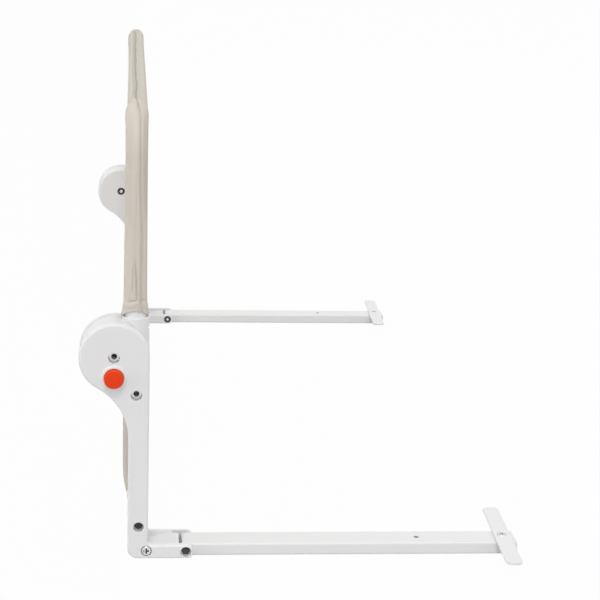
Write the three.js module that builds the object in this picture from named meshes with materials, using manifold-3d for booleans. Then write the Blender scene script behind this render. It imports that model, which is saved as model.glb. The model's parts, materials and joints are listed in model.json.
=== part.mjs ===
// A folding bed guard rail. A fabric cover on a bent tube frame folds down outward about two round
// hinge housings, and two flat arms lie under the mattress. Millimetres, +Z up.
// X points from the rail to the middle of the bed, Y runs along the rail, and the feet stand on Z = 0.
// Each side unit is drawn once, with Y measured inward from its outer face, and mirrored for the other.

import * as THREE from 'three';
import { mergeVertices } from 'three/addons/utils/BufferGeometryUtils.js';
import Module from 'manifold-3d';

const wasm = await Module();
wasm.setup();

// Overall sizes
const railLength = 1200;
const railHeight = 533;
const unitDepth = 57;

// Fits and cuts
const clearance = 0.3;
const overrun = 1;
const mergeDistance = 1e-4;

// Counts of flat sides on round shapes
const roundSides = 18;
const smallSides = 10;
const discSteps = 30;
const swoopSteps = 8;
const filletSteps = 3;

// Casing, seen along the rail
const postWidth = 24;
const hingeHeight = 243;
const plateRadius = 41;
const plateThickness = 12.2;
const swoopRadius = 70;
const casingWall = 2.8;
const casingEdge = 1.2;
const heelRadius = 12;
const heelHeight = 20;
const shoulderDrop = 12;

// Foot of the casing
const footHeight = 16;
const footReach = 53;
const footEndRadius = 5;
const footFillet = 4;
const webHeight = 14.2;
const webLowHeight = 8.5;
const webSlopeLength = 29;
const slotSetback = 7.7;
const slotReach = 10.4;
const slotWidth = 1.2;
const slotDepth = 2.2;
const slotFloor = 5;

// Arm and its pivot
const armWidth = 39;
const armHeight = 15;
const armWall = 1.5;
const armCorner = 2.5;
const armReach = 395.5;
const armPivotSetback = 8;
const armSideGap = 0.4;
const armRootGap = 0.4;
const armHoleRadius = 3.2;
const armHoleSetback = 117.5;
const armBoltRadius = 3;
const armBoltHeadRadius = 5.4;
const armBoltHeadHeight = 4.4;
const armBoltRecessRadius = 6.25;
const armBoltRecessDepth = 5;
const armNutRadius = 5.6;
const armNutHeight = 2.4;
const armNutRecessDepth = 7;
const armBoltTip = 0.4;

// Cap in the arm's end
const capFlange = 2;
const capPlug = 6;

// Paddle at the arm's end
const paddleLength = 188;
const paddleWidth = 20;
const paddleThickness = 2.7;
const paddleCorner = 8;
const paddleSetback = 12.9;
const paddleTurn = THREE.MathUtils.degToRad(-2.5);
const paddleScrewRadius = 3;
const paddleScrewHeadRadius = 6.7;
const paddleScrewHeadHeight = 2.2;
const paddleScrewLength = 11;
const paddleNutRadius = 5.8;
const paddleNutHeight = 5;

// Rotor and its socket
const rotorStepIn = 1;
const rotorRunningGap = 0.5;
const socketSetback = 0.5;
const socketHeight = 44;
const socketBoreDepth = 40;
const socketEdge = 1.5;
const foldedSocketGap = 1;

// Hinge bosses, bolt and nut
const hingeBossRadius = 11;
const hingeBoltRadius = 3;
const hingeBoltHeadRadius = 5.25;
const hingeBoltHeadHeight = 5;
const hingeBoltEnd = 19.2;
const hingeNutRadius = 5.8;
const hingeNutHeight = 5;
const hingeNutStart = 20;
const recessRadius = 6.7;
const recessDepth = 9.5;
const recessHoleRadius = 3.5;

// Release button, its collar and the latch
const buttonDrop = 23.3;
const buttonRadius = 11.2;
const buttonProud = 8;
const buttonEdge = 1.6;
const buttonFlangeRadius = 12.7;
const buttonFlangeStart = 1;
const buttonFlangeThickness = 2;
const collarRadius = 14.4;
const collarProud = 3;
const collarEdge = 1;
const latchRadius = 6;
const latchTrackGap = 0.5;
const latchReach = 2;
const latchPocketFloor = 2;
const springBoreRadius = 4.7;
const springBoreDepth = 14.8;
const springRadius = 3.6;
const springWire = 0.6;
const springTurns = 6;
const springSteps = 8;
const springSides = 5;

// Screws that join the casing halves
const upperScrewX = -3;
const upperScrewDrop = 44.5;
const lowerScrewX = 1;
const lowerScrewHeight = 38.5;
const lowerRecessRadius = 6.15;
const housingScrewRadius = 2.2;
const housingScrewHeadRadius = 4.8;
const housingScrewHeadHeight = 3.6;
const housingScrewEnd = 14.5;
const screwTowerWall = 2;
const screwTowerRadius = 5.5;

// Cross-head screw at the heel
const cornerScrewX = 10.4;
const cornerScrewHeight = 9.4;
const cornerScrewHeadRadius = 5.9;
const cornerScrewHeadHeight = 3.2;
const cornerScrewRadius = 2.2;
const cornerScrewLength = 40;
const cornerScrewSink = 0.4;
const crossLength = 6;
const crossWidth = 1.3;
const crossDepth = 1.8;

// Steel tube in the post
const postTubeWidth = 16;
const postTubeDepth = 30;
const postTubeWall = 1.5;
const postTubeDrop = 56;

// Frame tubes of the cover
const tubeRadius = 11;
const tubeWall = 1.2;
const bendRadius = 44;
const bendSteps = 6;
const cornerTubeStub = 60;
const spigotLength = 30;
const spigotRadius = 9.5;
const spigotWall = 1.2;
const spigotCollar = 1.5;

// Screw that holds the upright in its socket
const socketScrewDrop = 15;
const socketScrewRadius = 2;
const socketScrewHeadRadius = 4;
const socketScrewHeadHeight = 2.4;
const socketScrewSink = 0.6;
const socketScrewLength = 7;

// Lower cross tube
const crossTubeRadius = 8;
const crossTubeX = -2.5;
const crossTubeHeight = 61.5;
const crossTubePlug = 10.5;
const crossBossWall = 2.2;
const crossBossFloor = 1.5;

// Fabric
const fabricWall = 1.6;
const coverThickness = 27;
const coverOffset = 0.5;
const coverBevelSteps = 4;
const coverCornerSteps = 6;
const cuffGap = 0.6;
const partingGap = 4;
const skirtEndGap = 3;
const skirtTaperHeight = 100;
const hemRadius = 12.5;
const hemSteps = 8;

// Places that follow from the sizes
const unitMiddle = unitDepth / 2;
const postFace = postWidth / 2;
const hingeX = postFace - plateRadius;
const uprightY = railLength / 2 - unitMiddle;
const footEnd = postFace + footReach;
const footWall = unitMiddle - armWidth / 2 - armSideGap;
const armPivotX = footEnd - armPivotSetback;
const armPivotHeight = armHeight / 2;
const armEnd = armPivotX + armReach;
const webEnd = armPivotX - armHeight / 2 - armRootGap;
const paddleX = armEnd - paddleSetback;
const paddleUnderside = armHeight + clearance;
const paddleTop = paddleUnderside + paddleThickness;
const rotorRadius = plateRadius - rotorStepIn;
const rotorOuterFace = plateThickness + clearance;
const rotorDepth = unitDepth - 2 * rotorOuterFace;
const socketRadius = rotorDepth / 2;
const socketX = postFace - socketSetback - socketRadius;
const socketTop = hingeHeight + socketHeight;
const socketBoreRadius = tubeRadius + clearance;
const innerPlateFace = unitDepth - plateThickness;
const headSeat = unitDepth - recessDepth;
const buttonHeight = hingeHeight - buttonDrop;
const upperScrewHeight = hingeHeight - upperScrewDrop;
const postTubeTop = hingeHeight - postTubeDrop;
const latchEnd = innerPlateFace + latchReach;
const latchStart = buttonFlangeStart + buttonFlangeThickness + clearance;
const topTubeHeight = railHeight - coverThickness / 2;
const topTubeEnd = uprightY - bendRadius - cornerTubeStub;
const coverX = socketX - coverOffset;
const coverHalfWidth = uprightY + coverThickness / 2;
const coverLowerHalfWidth = railLength / 2 - unitDepth - skirtEndGap;
const cuffBottom = socketTop + cuffGap;
const coverBottom = hingeHeight + partingGap;
const skirtTop = hingeHeight - partingGap;
const caseRearX = hingeX - plateRadius;
const capEnd = armEnd + capFlange;

// Materials
const whitePlastic = new THREE.MeshStandardMaterial({ color: 0xf1f1f1, roughness: 0.55, metalness: 0 });
const whiteSteel = new THREE.MeshStandardMaterial({ color: 0xeeeeee, roughness: 0.4, metalness: 0.1 });
const orangePlastic = new THREE.MeshStandardMaterial({ color: 0xe8451a, roughness: 0.3, metalness: 0 });
const brightSteel = new THREE.MeshStandardMaterial({ color: 0xc4c4c4, roughness: 0.3, metalness: 1 });
const blackSteel = new THREE.MeshStandardMaterial({ color: 0x2c2c2e, roughness: 0.5, metalness: 0.8 });
const beigeFabric = new THREE.MeshStandardMaterial({ color: 0xd5c8b9, roughness: 0.95, metalness: 0 });

// Carries an extrusion's outline axes to Y and Z and its direction to X.
const turnToX = new THREE.Matrix4().makeBasis(
  new THREE.Vector3(0, 1, 0), new THREE.Vector3(0, 0, 1), new THREE.Vector3(1, 0, 0));

// Turns a closed geometry into a solid that can be cut and joined.
function solid(geometry) {
  const bare = geometry.clone();
  bare.deleteAttribute('normal');
  bare.deleteAttribute('uv');
  const merged = mergeVertices(bare, mergeDistance);
  const points = merged.attributes.position.array;
  const corners = [];
  for (let i = 0; i < merged.index.count; i += 3) {
    const [a, b, c] = [merged.index.getX(i), merged.index.getX(i + 1), merged.index.getX(i + 2)];
    if (a !== b && b !== c && c !== a) corners.push(a, b, c);
  }
  if (signedVolume(points, corners) < 0) flip(corners);
  return new wasm.Manifold(new wasm.Mesh({
    numProp: 3,
    vertProperties: new Float32Array(points),
    triVerts: new Uint32Array(corners),
  }));
}

function signedVolume(points, corners) {
  let volume = 0;
  const [a, b, c] = [new THREE.Vector3(), new THREE.Vector3(), new THREE.Vector3()];
  for (let i = 0; i < corners.length; i += 3) {
    a.fromArray(points, corners[i] * 3);
    b.fromArray(points, corners[i + 1] * 3);
    c.fromArray(points, corners[i + 2] * 3);
    volume += a.dot(b.cross(c)) / 6;
  }
  return volume;
}

function flip(corners) {
  for (let i = 0; i < corners.length; i += 3) {
    [corners[i], corners[i + 1]] = [corners[i + 1], corners[i]];
  }
}

// Gives a solid back as a geometry.
function geometryOf(shape) {
  const mesh = shape.getMesh();
  const geometry = new THREE.BufferGeometry();
  geometry.setAttribute('position', new THREE.BufferAttribute(mesh.vertProperties, 3));
  geometry.setIndex(new THREE.BufferAttribute(mesh.triVerts, 1));
  geometry.computeVertexNormals();
  return geometry;
}

function join(...shapes) {
  return shapes.reduce((whole, shape) => whole.add(shape));
}

function cut(shape, ...tools) {
  return tools.reduce((whole, tool) => whole.subtract(tool), shape);
}

// A box between two corners.
function block(x0, x1, y0, y1, z0, z1) {
  const geometry = new THREE.BoxGeometry(x1 - x0, y1 - y0, z1 - z0);
  return solid(geometry.translate((x0 + x1) / 2, (y0 + y1) / 2, (z0 + z1) / 2));
}

// A round bar along Y, and bars along X and Z.
function barAlongY(x, z, radius, from, to, sides = roundSides) {
  const geometry = new THREE.CylinderGeometry(radius, radius, to - from, sides);
  return solid(geometry.translate(x, (from + to) / 2, z));
}

function barAlongZ(x, y, radius, from, to, sides = roundSides) {
  const geometry = new THREE.CylinderGeometry(radius, radius, to - from, sides).rotateX(Math.PI / 2);
  return solid(geometry.translate(x, y, (from + to) / 2));
}

function barAlongX(y, z, radius, from, to, sides = roundSides) {
  const geometry = new THREE.CylinderGeometry(radius, radius, to - from, sides).rotateZ(Math.PI / 2);
  return solid(geometry.translate((from + to) / 2, y, z));
}

// A solid of revolution about Y. The profile lists radius and Y, from the axis back to the axis.
function turnedAlongY(x, z, profile, sides = roundSides) {
  const points = profile.map(([radius, y]) => new THREE.Vector2(radius, y));
  return solid(new THREE.LatheGeometry(points, sides).translate(x, 0, z));
}

// A solid of revolution about Z. The profile lists radius and Z.
function turnedAlongZ(x, y, profile, sides = roundSides) {
  const points = profile.map(([radius, z]) => new THREE.Vector2(radius, z));
  return solid(new THREE.LatheGeometry(points, sides).rotateX(Math.PI / 2).translate(x, y, 0));
}

// An outline in X and Z, extruded along Y between two places.
function slab(outline, from, to) {
  const geometry = new THREE.ExtrudeGeometry(outline, { depth: to - from, bevelEnabled: false });
  return solid(geometry.rotateX(Math.PI / 2).translate(0, to, 0));
}

// The same with its edge at the first place bevelled.
function edgedSlab(outline, from, to, edge) {
  const bevelled = new THREE.ExtrudeGeometry(outline, {
    depth: to - from,
    bevelEnabled: true,
    bevelThickness: edge,
    bevelSize: edge,
    bevelOffset: -edge,
    bevelSegments: 1,
  });
  const whole = solid(bevelled.rotateX(Math.PI / 2).translate(0, to + edge, 0));
  return whole.intersect(block(caseRearX, footEnd, from, to, 0, hingeHeight + plateRadius));
}

// An outline in Y and Z, extruded along X between two places.
function slabAlongX(outline, from, to) {
  const geometry = new THREE.ExtrudeGeometry(outline, { depth: to - from, bevelEnabled: false });
  return solid(geometry.applyMatrix4(turnToX).translate(from, 0, 0));
}

// An outline in X and Y, extruded along Z between two places.
function slabAlongZ(outline, from, to) {
  const geometry = new THREE.ExtrudeGeometry(outline, { depth: to - from, bevelEnabled: false });
  return solid(geometry.translate(0, 0, from));
}

// Adds the points of an arc, so that each arc has its own number of steps.
function addArc(outline, x, y, radius, from, to, steps) {
  for (let i = 0; i <= steps; i += 1) {
    const angle = from + (to - from) * i / steps;
    addPoint(outline, x + radius * Math.cos(angle), y + radius * Math.sin(angle));
  }
}

function addPoint(outline, x, y) {
  if (outline.curves.length === 0 && !outline.started) outline.moveTo(x, y);
  else outline.lineTo(x, y);
  outline.started = true;
}

function circle(x, y, radius, sides) {
  const path = new THREE.Shape();
  addArc(path, x, y, radius, 0, 2 * Math.PI * (sides - 1) / sides, sides - 1);
  return path;
}

function roundedRectangle(x0, x1, y0, y1, radius) {
  const outline = new THREE.Shape();
  addArc(outline, x1 - radius, y1 - radius, radius, 0, Math.PI / 2, filletSteps);
  addArc(outline, x0 + radius, y1 - radius, radius, Math.PI / 2, Math.PI, filletSteps);
  addArc(outline, x0 + radius, y0 + radius, radius, Math.PI, 1.5 * Math.PI, filletSteps);
  addArc(outline, x1 - radius, y0 + radius, radius, 1.5 * Math.PI, 2 * Math.PI, filletSteps);
  return outline;
}

// A path whose sections stand only where they are listed, so straight runs take one step.
class StationPath extends THREE.Curve {
  constructor(stations) {
    super();
    this.stations = stations;
  }

  stationAt(share) {
    return this.stations[Math.round(share * (this.stations.length - 1))];
  }

  getPointAt(share) {
    return this.stationAt(share).point.clone();
  }

  getTangentAt(share) {
    return this.stationAt(share).direction.clone();
  }
}

// A pipe or rod of round section along a station path.
function pipe(path, radius, wall, sides) {
  const section = circle(0, 0, radius, sides);
  if (wall > 0) section.holes.push(circle(0, 0, radius - wall, sides));
  return solid(new THREE.ExtrudeGeometry(section, {
    steps: path.stations.length - 1, extrudePath: path,
  }));
}

// The casing's outline: hinge disc, swoop and post, drawn in evenly by an inset, with or without foot.
function casingOutline(withFoot, inset = 0) {
  const disc = plateRadius - inset;
  const swoop = swoopRadius + inset;
  const swoopX = -postFace - swoopRadius;
  const swoopHeight = hingeHeight - Math.sqrt((plateRadius + swoopRadius) ** 2 - (hingeX - swoopX) ** 2);
  const meeting = Math.atan2(swoopHeight - hingeHeight, swoopX - hingeX) + 2 * Math.PI;
  const heel = heelRadius - inset;
  const right = postFace - inset;
  const outline = new THREE.Shape();
  addArc(outline, hingeX, hingeHeight, disc, 0, meeting, discSteps);
  addArc(outline, swoopX, swoopHeight, swoop, meeting - Math.PI, 0, swoopSteps);
  addArc(outline, -postFace + heelRadius, heelRadius, heel, Math.PI, 1.5 * Math.PI, filletSteps);
  if (withFoot) {
    const endX = footEnd - footEndRadius;
    addArc(outline, endX, footEndRadius, footEndRadius, -Math.PI / 2, 0, filletSteps);
    addArc(outline, endX, footHeight - footEndRadius, footEndRadius, 0, Math.PI / 2, filletSteps);
    addArc(outline, right + footFillet, footHeight + footFillet, footFillet,
      1.5 * Math.PI, Math.PI, filletSteps);
  } else {
    outline.lineTo(right, inset);
  }
  return outline;
}

// The room that the rotor and its socket need between the hinge plates, also when folded.
function rotorSpace() {
  const [from, to] = [plateThickness, innerPlateFace];
  const foldedSocketX = 2 * hingeX - socketX + socketRadius + foldedSocketGap;
  const lowest = hingeHeight - socketHeight - 2 * foldedSocketGap;
  return join(
    barAlongY(hingeX, hingeHeight, rotorRadius + rotorRunningGap, from, to, discSteps),
    block(caseRearX, postFace + overrun, from, to, hingeHeight - shoulderDrop, socketTop),
    block(caseRearX, foldedSocketX, from, to, lowest, hingeHeight),
  );
}

// Half of the casing as both halves share it, with its outer face at Y = 0.
function casingShell() {
  const web = new THREE.Shape();
  web.moveTo(postFace - overrun, 0);
  web.lineTo(webEnd, 0);
  web.lineTo(webEnd, webHeight);
  web.lineTo(postFace + webSlopeLength, webHeight);
  web.lineTo(postFace, webLowHeight);
  web.lineTo(postFace - overrun, webLowHeight);
  const armRoom = block(postFace, footEnd, footWall, unitMiddle, 0, footHeight + footFillet);
  const body = join(
    cut(edgedSlab(casingOutline(true), 0, unitMiddle, casingEdge), armRoom),
    slab(web, footWall - overrun, unitMiddle),
  );
  const hollow = cut(
    slab(casingOutline(false, casingWall), casingWall, unitMiddle + overrun),
    barAlongY(hingeX, hingeHeight, rotorRadius + rotorRunningGap + casingWall, 0, unitDepth, discSteps),
    block(-postFace, postFace, 0, unitDepth, 0, heelHeight),
  );
  return join(
    cut(body, hollow, rotorSpace()),
    barAlongY(hingeX, hingeHeight, hingeBossRadius, plateThickness - overrun, unitMiddle - clearance / 2),
    screwTower(upperScrewX, upperScrewHeight, recessRadius, unitMiddle),
    screwTower(lowerScrewX, lowerScrewHeight, lowerRecessRadius, (unitDepth - postTubeDepth) / 2 - clearance),
  );
}

// A boss round a sunk screw hole, up to where it meets the other half or the post tube.
function screwTower(x, z, holeRadius, end) {
  return join(
    barAlongY(x, z, holeRadius + screwTowerWall, casingEdge, recessDepth + screwTowerWall),
    barAlongY(x, z, screwTowerRadius, recessDepth, end, smallSides),
  );
}

// A round recess in the outer face with a through hole in its floor.
function sunkHole(x, z, radius, depth, holeRadius, end) {
  return join(
    barAlongY(x, z, radius, -overrun, depth),
    barAlongY(x, z, holeRadius, depth - overrun, end, smallSides),
  );
}

function outerHousing() {
  const collar = turnedAlongY(hingeX, buttonHeight, [
    [0, -collarProud],
    [collarRadius - collarEdge, -collarProud],
    [collarRadius, -collarProud + collarEdge],
    [collarRadius, casingEdge],
    [0, casingEdge],
  ]);
  const shoulder = buttonFlangeStart - clearance;
  return cut(
    join(casingShell(), collar),
    sunkHole(hingeX, hingeHeight, recessRadius, recessDepth, recessHoleRadius, hingeNutStart + overrun),
    barAlongY(hingeX, hingeHeight, hingeNutRadius + clearance, hingeNutStart, unitMiddle + overrun, 6),
    sunkHole(upperScrewX, upperScrewHeight, recessRadius, recessDepth, recessHoleRadius, unitDepth),
    sunkHole(lowerScrewX, lowerScrewHeight, lowerRecessRadius, recessDepth, recessHoleRadius, unitDepth),
    sunkHole(cornerScrewX, cornerScrewHeight, cornerScrewHeadRadius + clearance,
      cornerScrewHeadHeight + cornerScrewSink, cornerScrewRadius + clearance, unitDepth),
    sunkHole(armPivotX, armPivotHeight, armBoltRecessRadius, armNutRecessDepth,
      armBoltRadius + clearance, unitDepth),
    barAlongY(hingeX, buttonHeight, buttonRadius + clearance, -collarProud - overrun, plateThickness),
    barAlongY(hingeX, buttonHeight, buttonFlangeRadius + clearance, shoulder, plateThickness + overrun),
  );
}

// Mirrors a shape from one casing half to the other.
function acrossMiddle(shape) {
  return solid(geometryOf(shape).scale(1, -1, 1).translate(0, unitDepth, 0));
}

function innerHousing() {
  const shell = cut(
    casingShell(),
    sunkHole(hingeX, hingeHeight, recessRadius, recessDepth, hingeBoltRadius + clearance, unitDepth),
    sunkHole(upperScrewX, upperScrewHeight, recessRadius, recessDepth,
      housingScrewRadius + clearance, unitDepth),
    sunkHole(lowerScrewX, lowerScrewHeight, lowerRecessRadius, recessDepth,
      housingScrewRadius + clearance, unitDepth),
    sunkHole(armPivotX, armPivotHeight, armBoltRecessRadius, armBoltRecessDepth,
      armBoltRadius + clearance, unitDepth),
  );
  const plugStart = unitDepth - crossTubePlug;
  const plugBoss = barAlongY(crossTubeX, crossTubeHeight, crossTubeRadius + clearance + crossBossWall,
    plugStart - crossBossFloor, unitDepth - casingEdge);
  const casing = slab(casingOutline(true), 0, unitDepth);
  return cut(
    join(acrossMiddle(shell), plugBoss.intersect(casing)),
    barAlongY(crossTubeX, crossTubeHeight, crossTubeRadius + clearance, plugStart, unitDepth + overrun),
    barAlongY(hingeX, buttonHeight, latchRadius + clearance,
      innerPlateFace - overrun, unitDepth - latchPocketFloor, smallSides),
    barAlongY(cornerScrewX, cornerScrewHeight, cornerScrewRadius + clearance,
      0, cornerScrewSink + cornerScrewHeadHeight + cornerScrewLength + clearance, smallSides),
    block(webEnd - slotSetback, webEnd + slotReach, unitDepth - footWall - slotWidth,
      unitDepth - footWall + slotDepth, slotFloor, footHeight + overrun),
  );
}

// The slot that the latch pin travels in while the rail folds, with round ends.
function latchTrack() {
  const track = new THREE.Shape();
  const half = latchRadius + latchTrackGap;
  const quarter = Math.PI / 2;
  addArc(track, hingeX, hingeHeight, buttonDrop + half, quarter, 3 * quarter, roundSides);
  addArc(track, hingeX, hingeHeight - buttonDrop, half, -quarter, quarter, smallSides / 2);
  addArc(track, hingeX, hingeHeight, buttonDrop - half, 3 * quarter, quarter, roundSides);
  addArc(track, hingeX, hingeHeight + buttonDrop, half, -quarter, quarter, smallSides / 2);
  return track;
}

function hingeRotor() {
  const [from, to] = [rotorOuterFace, unitDepth - rotorOuterFace];
  const drum = barAlongY(hingeX, hingeHeight, rotorRadius, from, to, discSteps);
  const socket = turnedAlongZ(socketX, unitMiddle, [
    [0, hingeHeight],
    [socketRadius, hingeHeight],
    [socketRadius, socketTop - socketEdge],
    [socketRadius - socketEdge, socketTop],
    [0, socketTop],
  ]);
  const screwHeight = socketTop - socketScrewDrop;
  const screwSeat = socketX + socketRadius - socketScrewHeadHeight - socketScrewSink;
  return cut(
    join(drum, socket),
    barAlongZ(socketX, unitMiddle, socketBoreRadius, socketTop - socketBoreDepth, socketTop + overrun),
    barAlongY(hingeX, hingeHeight, hingeBossRadius + clearance, from - overrun, to + overrun),
    slab(latchTrack(), from - overrun, to + overrun),
    barAlongX(unitMiddle, screwHeight, socketScrewHeadRadius + clearance,
      screwSeat, postFace + overrun, smallSides),
    barAlongX(unitMiddle, screwHeight, socketScrewRadius + clearance, socketX, postFace, smallSides),
  );
}

// A screw or bolt along Y: a flat head from one place to the next, and a shank to its end.
function headedBolt(x, z, headRadius, headFrom, headTo, shankRadius, shankEnd) {
  const profile = [[0, headFrom], [headRadius, headFrom], [headRadius, headTo],
    [shankRadius, headTo], [shankRadius, shankEnd], [0, shankEnd]];
  return turnedAlongY(x, z, profile, smallSides);
}

function hexNut(x, z, radius, from, to, boreRadius) {
  return cut(
    barAlongY(x, z, radius, from, to, 6),
    barAlongY(x, z, boreRadius, from - overrun, to + overrun, smallSides),
  );
}

function hingeBolt() {
  const seat = headSeat + clearance;
  return headedBolt(hingeX, hingeHeight, hingeBoltHeadRadius, seat + hingeBoltHeadHeight, seat,
    hingeBoltRadius, hingeBoltEnd);
}

function hingeNut() {
  const start = hingeNutStart + clearance;
  return hexNut(hingeX, hingeHeight, hingeNutRadius, start, start + hingeNutHeight,
    hingeBoltRadius + clearance);
}

function housingScrew(x, z) {
  const seat = headSeat + clearance;
  return headedBolt(x, z, housingScrewHeadRadius, seat + housingScrewHeadHeight, seat,
    housingScrewRadius, housingScrewEnd);
}

// The screw at the heel, with a cross cut in its head.
function cornerScrew() {
  const headEnd = cornerScrewSink + cornerScrewHeadHeight - clearance;
  const headStart = headEnd - cornerScrewHeadHeight;
  const [x, z] = [cornerScrewX, cornerScrewHeight];
  return cut(
    headedBolt(x, z, cornerScrewHeadRadius, headStart, headEnd, cornerScrewRadius,
      headEnd + cornerScrewLength),
    block(x - crossLength / 2, x + crossLength / 2, headStart - overrun, headStart + crossDepth,
      z - crossWidth / 2, z + crossWidth / 2),
    block(x - crossWidth / 2, x + crossWidth / 2, headStart - overrun, headStart + crossDepth,
      z - crossLength / 2, z + crossLength / 2),
  );
}

function releaseButton() {
  const flangeEnd = buttonFlangeStart + buttonFlangeThickness;
  return turnedAlongY(hingeX, buttonHeight, [
    [0, -buttonProud],
    [buttonRadius - buttonEdge, -buttonProud],
    [buttonRadius, -buttonProud + buttonEdge],
    [buttonRadius, buttonFlangeStart],
    [buttonFlangeRadius, buttonFlangeStart],
    [buttonFlangeRadius, flangeEnd],
    [0, flangeEnd],
  ]);
}

function latchPin() {
  return cut(
    barAlongY(hingeX, buttonHeight, latchRadius, latchStart, latchEnd, smallSides),
    barAlongY(hingeX, buttonHeight, springBoreRadius, latchEnd - springBoreDepth, latchEnd + overrun,
      smallSides),
  );
}

// The spring is one unbroken helix between the pin's bore and the pocket's floor.
function latchSpring() {
  const start = latchEnd - springBoreDepth + springWire + clearance;
  const end = unitDepth - latchPocketFloor - springWire - clearance;
  const stations = [];
  const count = springTurns * springSteps;
  for (let i = 0; i <= count; i += 1) {
    const angle = 2 * Math.PI * i / springSteps;
    const rise = (end - start) / count;
    const sweep = 2 * Math.PI * springRadius / springSteps;
    stations.push({
      point: new THREE.Vector3(hingeX + springRadius * Math.cos(angle), start + rise * i,
        buttonHeight + springRadius * Math.sin(angle)),
      direction: new THREE.Vector3(-sweep * Math.sin(angle), rise, sweep * Math.cos(angle)).normalize(),
    });
  }
  return pipe(new StationPath(stations), springWire, 0, springSides);
}

function postTube() {
  const [y0, y1] = [(unitDepth - postTubeDepth) / 2, (unitDepth + postTubeDepth) / 2];
  const [bottom, half] = [heelHeight + clearance, postTubeWidth / 2];
  return cut(
    block(-half, half, y0, y1, bottom, postTubeTop),
    block(-half + postTubeWall, half - postTubeWall, y0 + postTubeWall, y1 - postTubeWall,
      bottom - overrun, postTubeTop + overrun),
    barAlongY(lowerScrewX, lowerScrewHeight, housingScrewRadius + clearance, 0, unitDepth, smallSides),
  );
}

function armBolt() {
  const seat = unitDepth - armBoltRecessDepth + clearance;
  const end = armNutRecessDepth - armNutHeight - clearance - armBoltTip;
  return headedBolt(armPivotX, armPivotHeight, armBoltHeadRadius, seat + armBoltHeadHeight, seat,
    armBoltRadius, end);
}

function armNut() {
  const end = armNutRecessDepth - clearance;
  return hexNut(armPivotX, armPivotHeight, armNutRadius, end - armNutHeight, end,
    armBoltRadius + clearance);
}

// The flat tube, cut to a half round at its root, with holes for its pivot, its paddle and a fixing.
function bedArm() {
  const [y0, y1] = [unitMiddle - armWidth / 2, unitMiddle + armWidth / 2];
  const section = roundedRectangle(y0, y1, 0, armHeight, armCorner);
  section.holes.push(roundedRectangle(y0 + armWall, y1 - armWall, armWall, armHeight - armWall,
    armCorner - armWall));
  const side = new THREE.Shape();
  addArc(side, armPivotX, armPivotHeight, armHeight / 2, Math.PI / 2, 1.5 * Math.PI, smallSides);
  addPoint(side, armEnd, 0);
  addPoint(side, armEnd, armHeight);
  const tube = slabAlongX(section, armPivotX - armHeight, armEnd);
  return cut(
    tube.intersect(slab(side, 0, unitDepth)),
    barAlongY(armPivotX, armPivotHeight, armBoltRadius + clearance, 0, unitDepth, smallSides),
    barAlongZ(armEnd - armHoleSetback, unitMiddle, armHoleRadius, armHeight / 2, armHeight + overrun),
    barAlongZ(paddleX, unitMiddle, paddleScrewRadius + clearance, armHeight / 2, armHeight + overrun,
      smallSides),
  );
}

function armEndCap() {
  const [y0, y1] = [unitMiddle - armWidth / 2, unitMiddle + armWidth / 2];
  const inset = armWall + clearance;
  const flange = roundedRectangle(y0, y1, 0, armHeight, armCorner);
  const plug = roundedRectangle(y0 + inset, y1 - inset, inset, armHeight - inset, armCorner - armWall);
  return join(
    slabAlongX(flange, armEnd, capEnd),
    slabAlongX(plug, armEnd - capPlug, armEnd + capFlange / 2),
  );
}

// The paddle lies about its own screw, so its mesh is placed and turned by its position and rotation.
function paddle() {
  const outline = roundedRectangle(-paddleWidth / 2, paddleWidth / 2, -paddleLength / 2,
    paddleLength / 2, paddleCorner);
  const hole = turnedAlongZ(0, 0, [
    [0, paddleUnderside - overrun],
    [paddleScrewRadius + clearance, paddleUnderside - overrun],
    [paddleScrewRadius + clearance, paddleTop - paddleScrewHeadHeight],
    [paddleScrewHeadRadius + clearance, paddleTop],
    [paddleScrewHeadRadius + clearance, paddleTop + overrun],
    [0, paddleTop + overrun],
  ]);
  return cut(slabAlongZ(outline, paddleUnderside, paddleTop), hole);
}

function paddleScrew() {
  return turnedAlongZ(paddleX, unitMiddle, [
    [0, paddleTop - paddleScrewLength],
    [paddleScrewRadius, paddleTop - paddleScrewLength],
    [paddleScrewRadius, paddleTop - paddleScrewHeadHeight],
    [paddleScrewHeadRadius, paddleTop],
    [0, paddleTop],
  ]);
}

function paddleNut() {
  const top = armHeight - armWall - clearance;
  return cut(
    barAlongZ(paddleX, unitMiddle, paddleNutRadius, top - paddleNutHeight, top, 6),
    barAlongZ(paddleX, unitMiddle, paddleScrewRadius + clearance, 0, armHeight, smallSides),
  );
}

// The upright with its bend and a drawn-in end that plugs into the top tube.
function frameCornerTube() {
  const bottom = socketTop - socketBoreDepth + clearance;
  const [bendY, bendHeight] = [unitMiddle + bendRadius, topTubeHeight - bendRadius];
  const end = bendY + cornerTubeStub;
  const stations = [stationAt(unitMiddle, bottom, 0)];
  for (let i = 0; i <= bendSteps; i += 1) {
    const turn = Math.PI / 2 * i / bendSteps;
    stations.push(stationAt(bendY - bendRadius * Math.cos(turn),
      bendHeight + bendRadius * Math.sin(turn), turn));
  }
  stations.push(stationAt(end, topTubeHeight, Math.PI / 2));
  const spigotBore = spigotRadius - spigotWall;
  const spigot = cut(
    join(
      barAlongY(socketX, topTubeHeight, tubeRadius, end - spigotCollar, end),
      barAlongY(socketX, topTubeHeight, spigotRadius, end - spigotCollar, end + spigotLength),
    ),
    barAlongY(socketX, topTubeHeight, spigotBore, end - spigotLength, end + spigotLength + overrun),
  );
  const screwHeight = socketTop - socketScrewDrop;
  return cut(
    join(pipe(new StationPath(stations), tubeRadius, tubeWall, roundSides), spigot),
    barAlongX(unitMiddle, screwHeight, socketScrewRadius + clearance, socketX, postFace, smallSides),
  );
}

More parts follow.
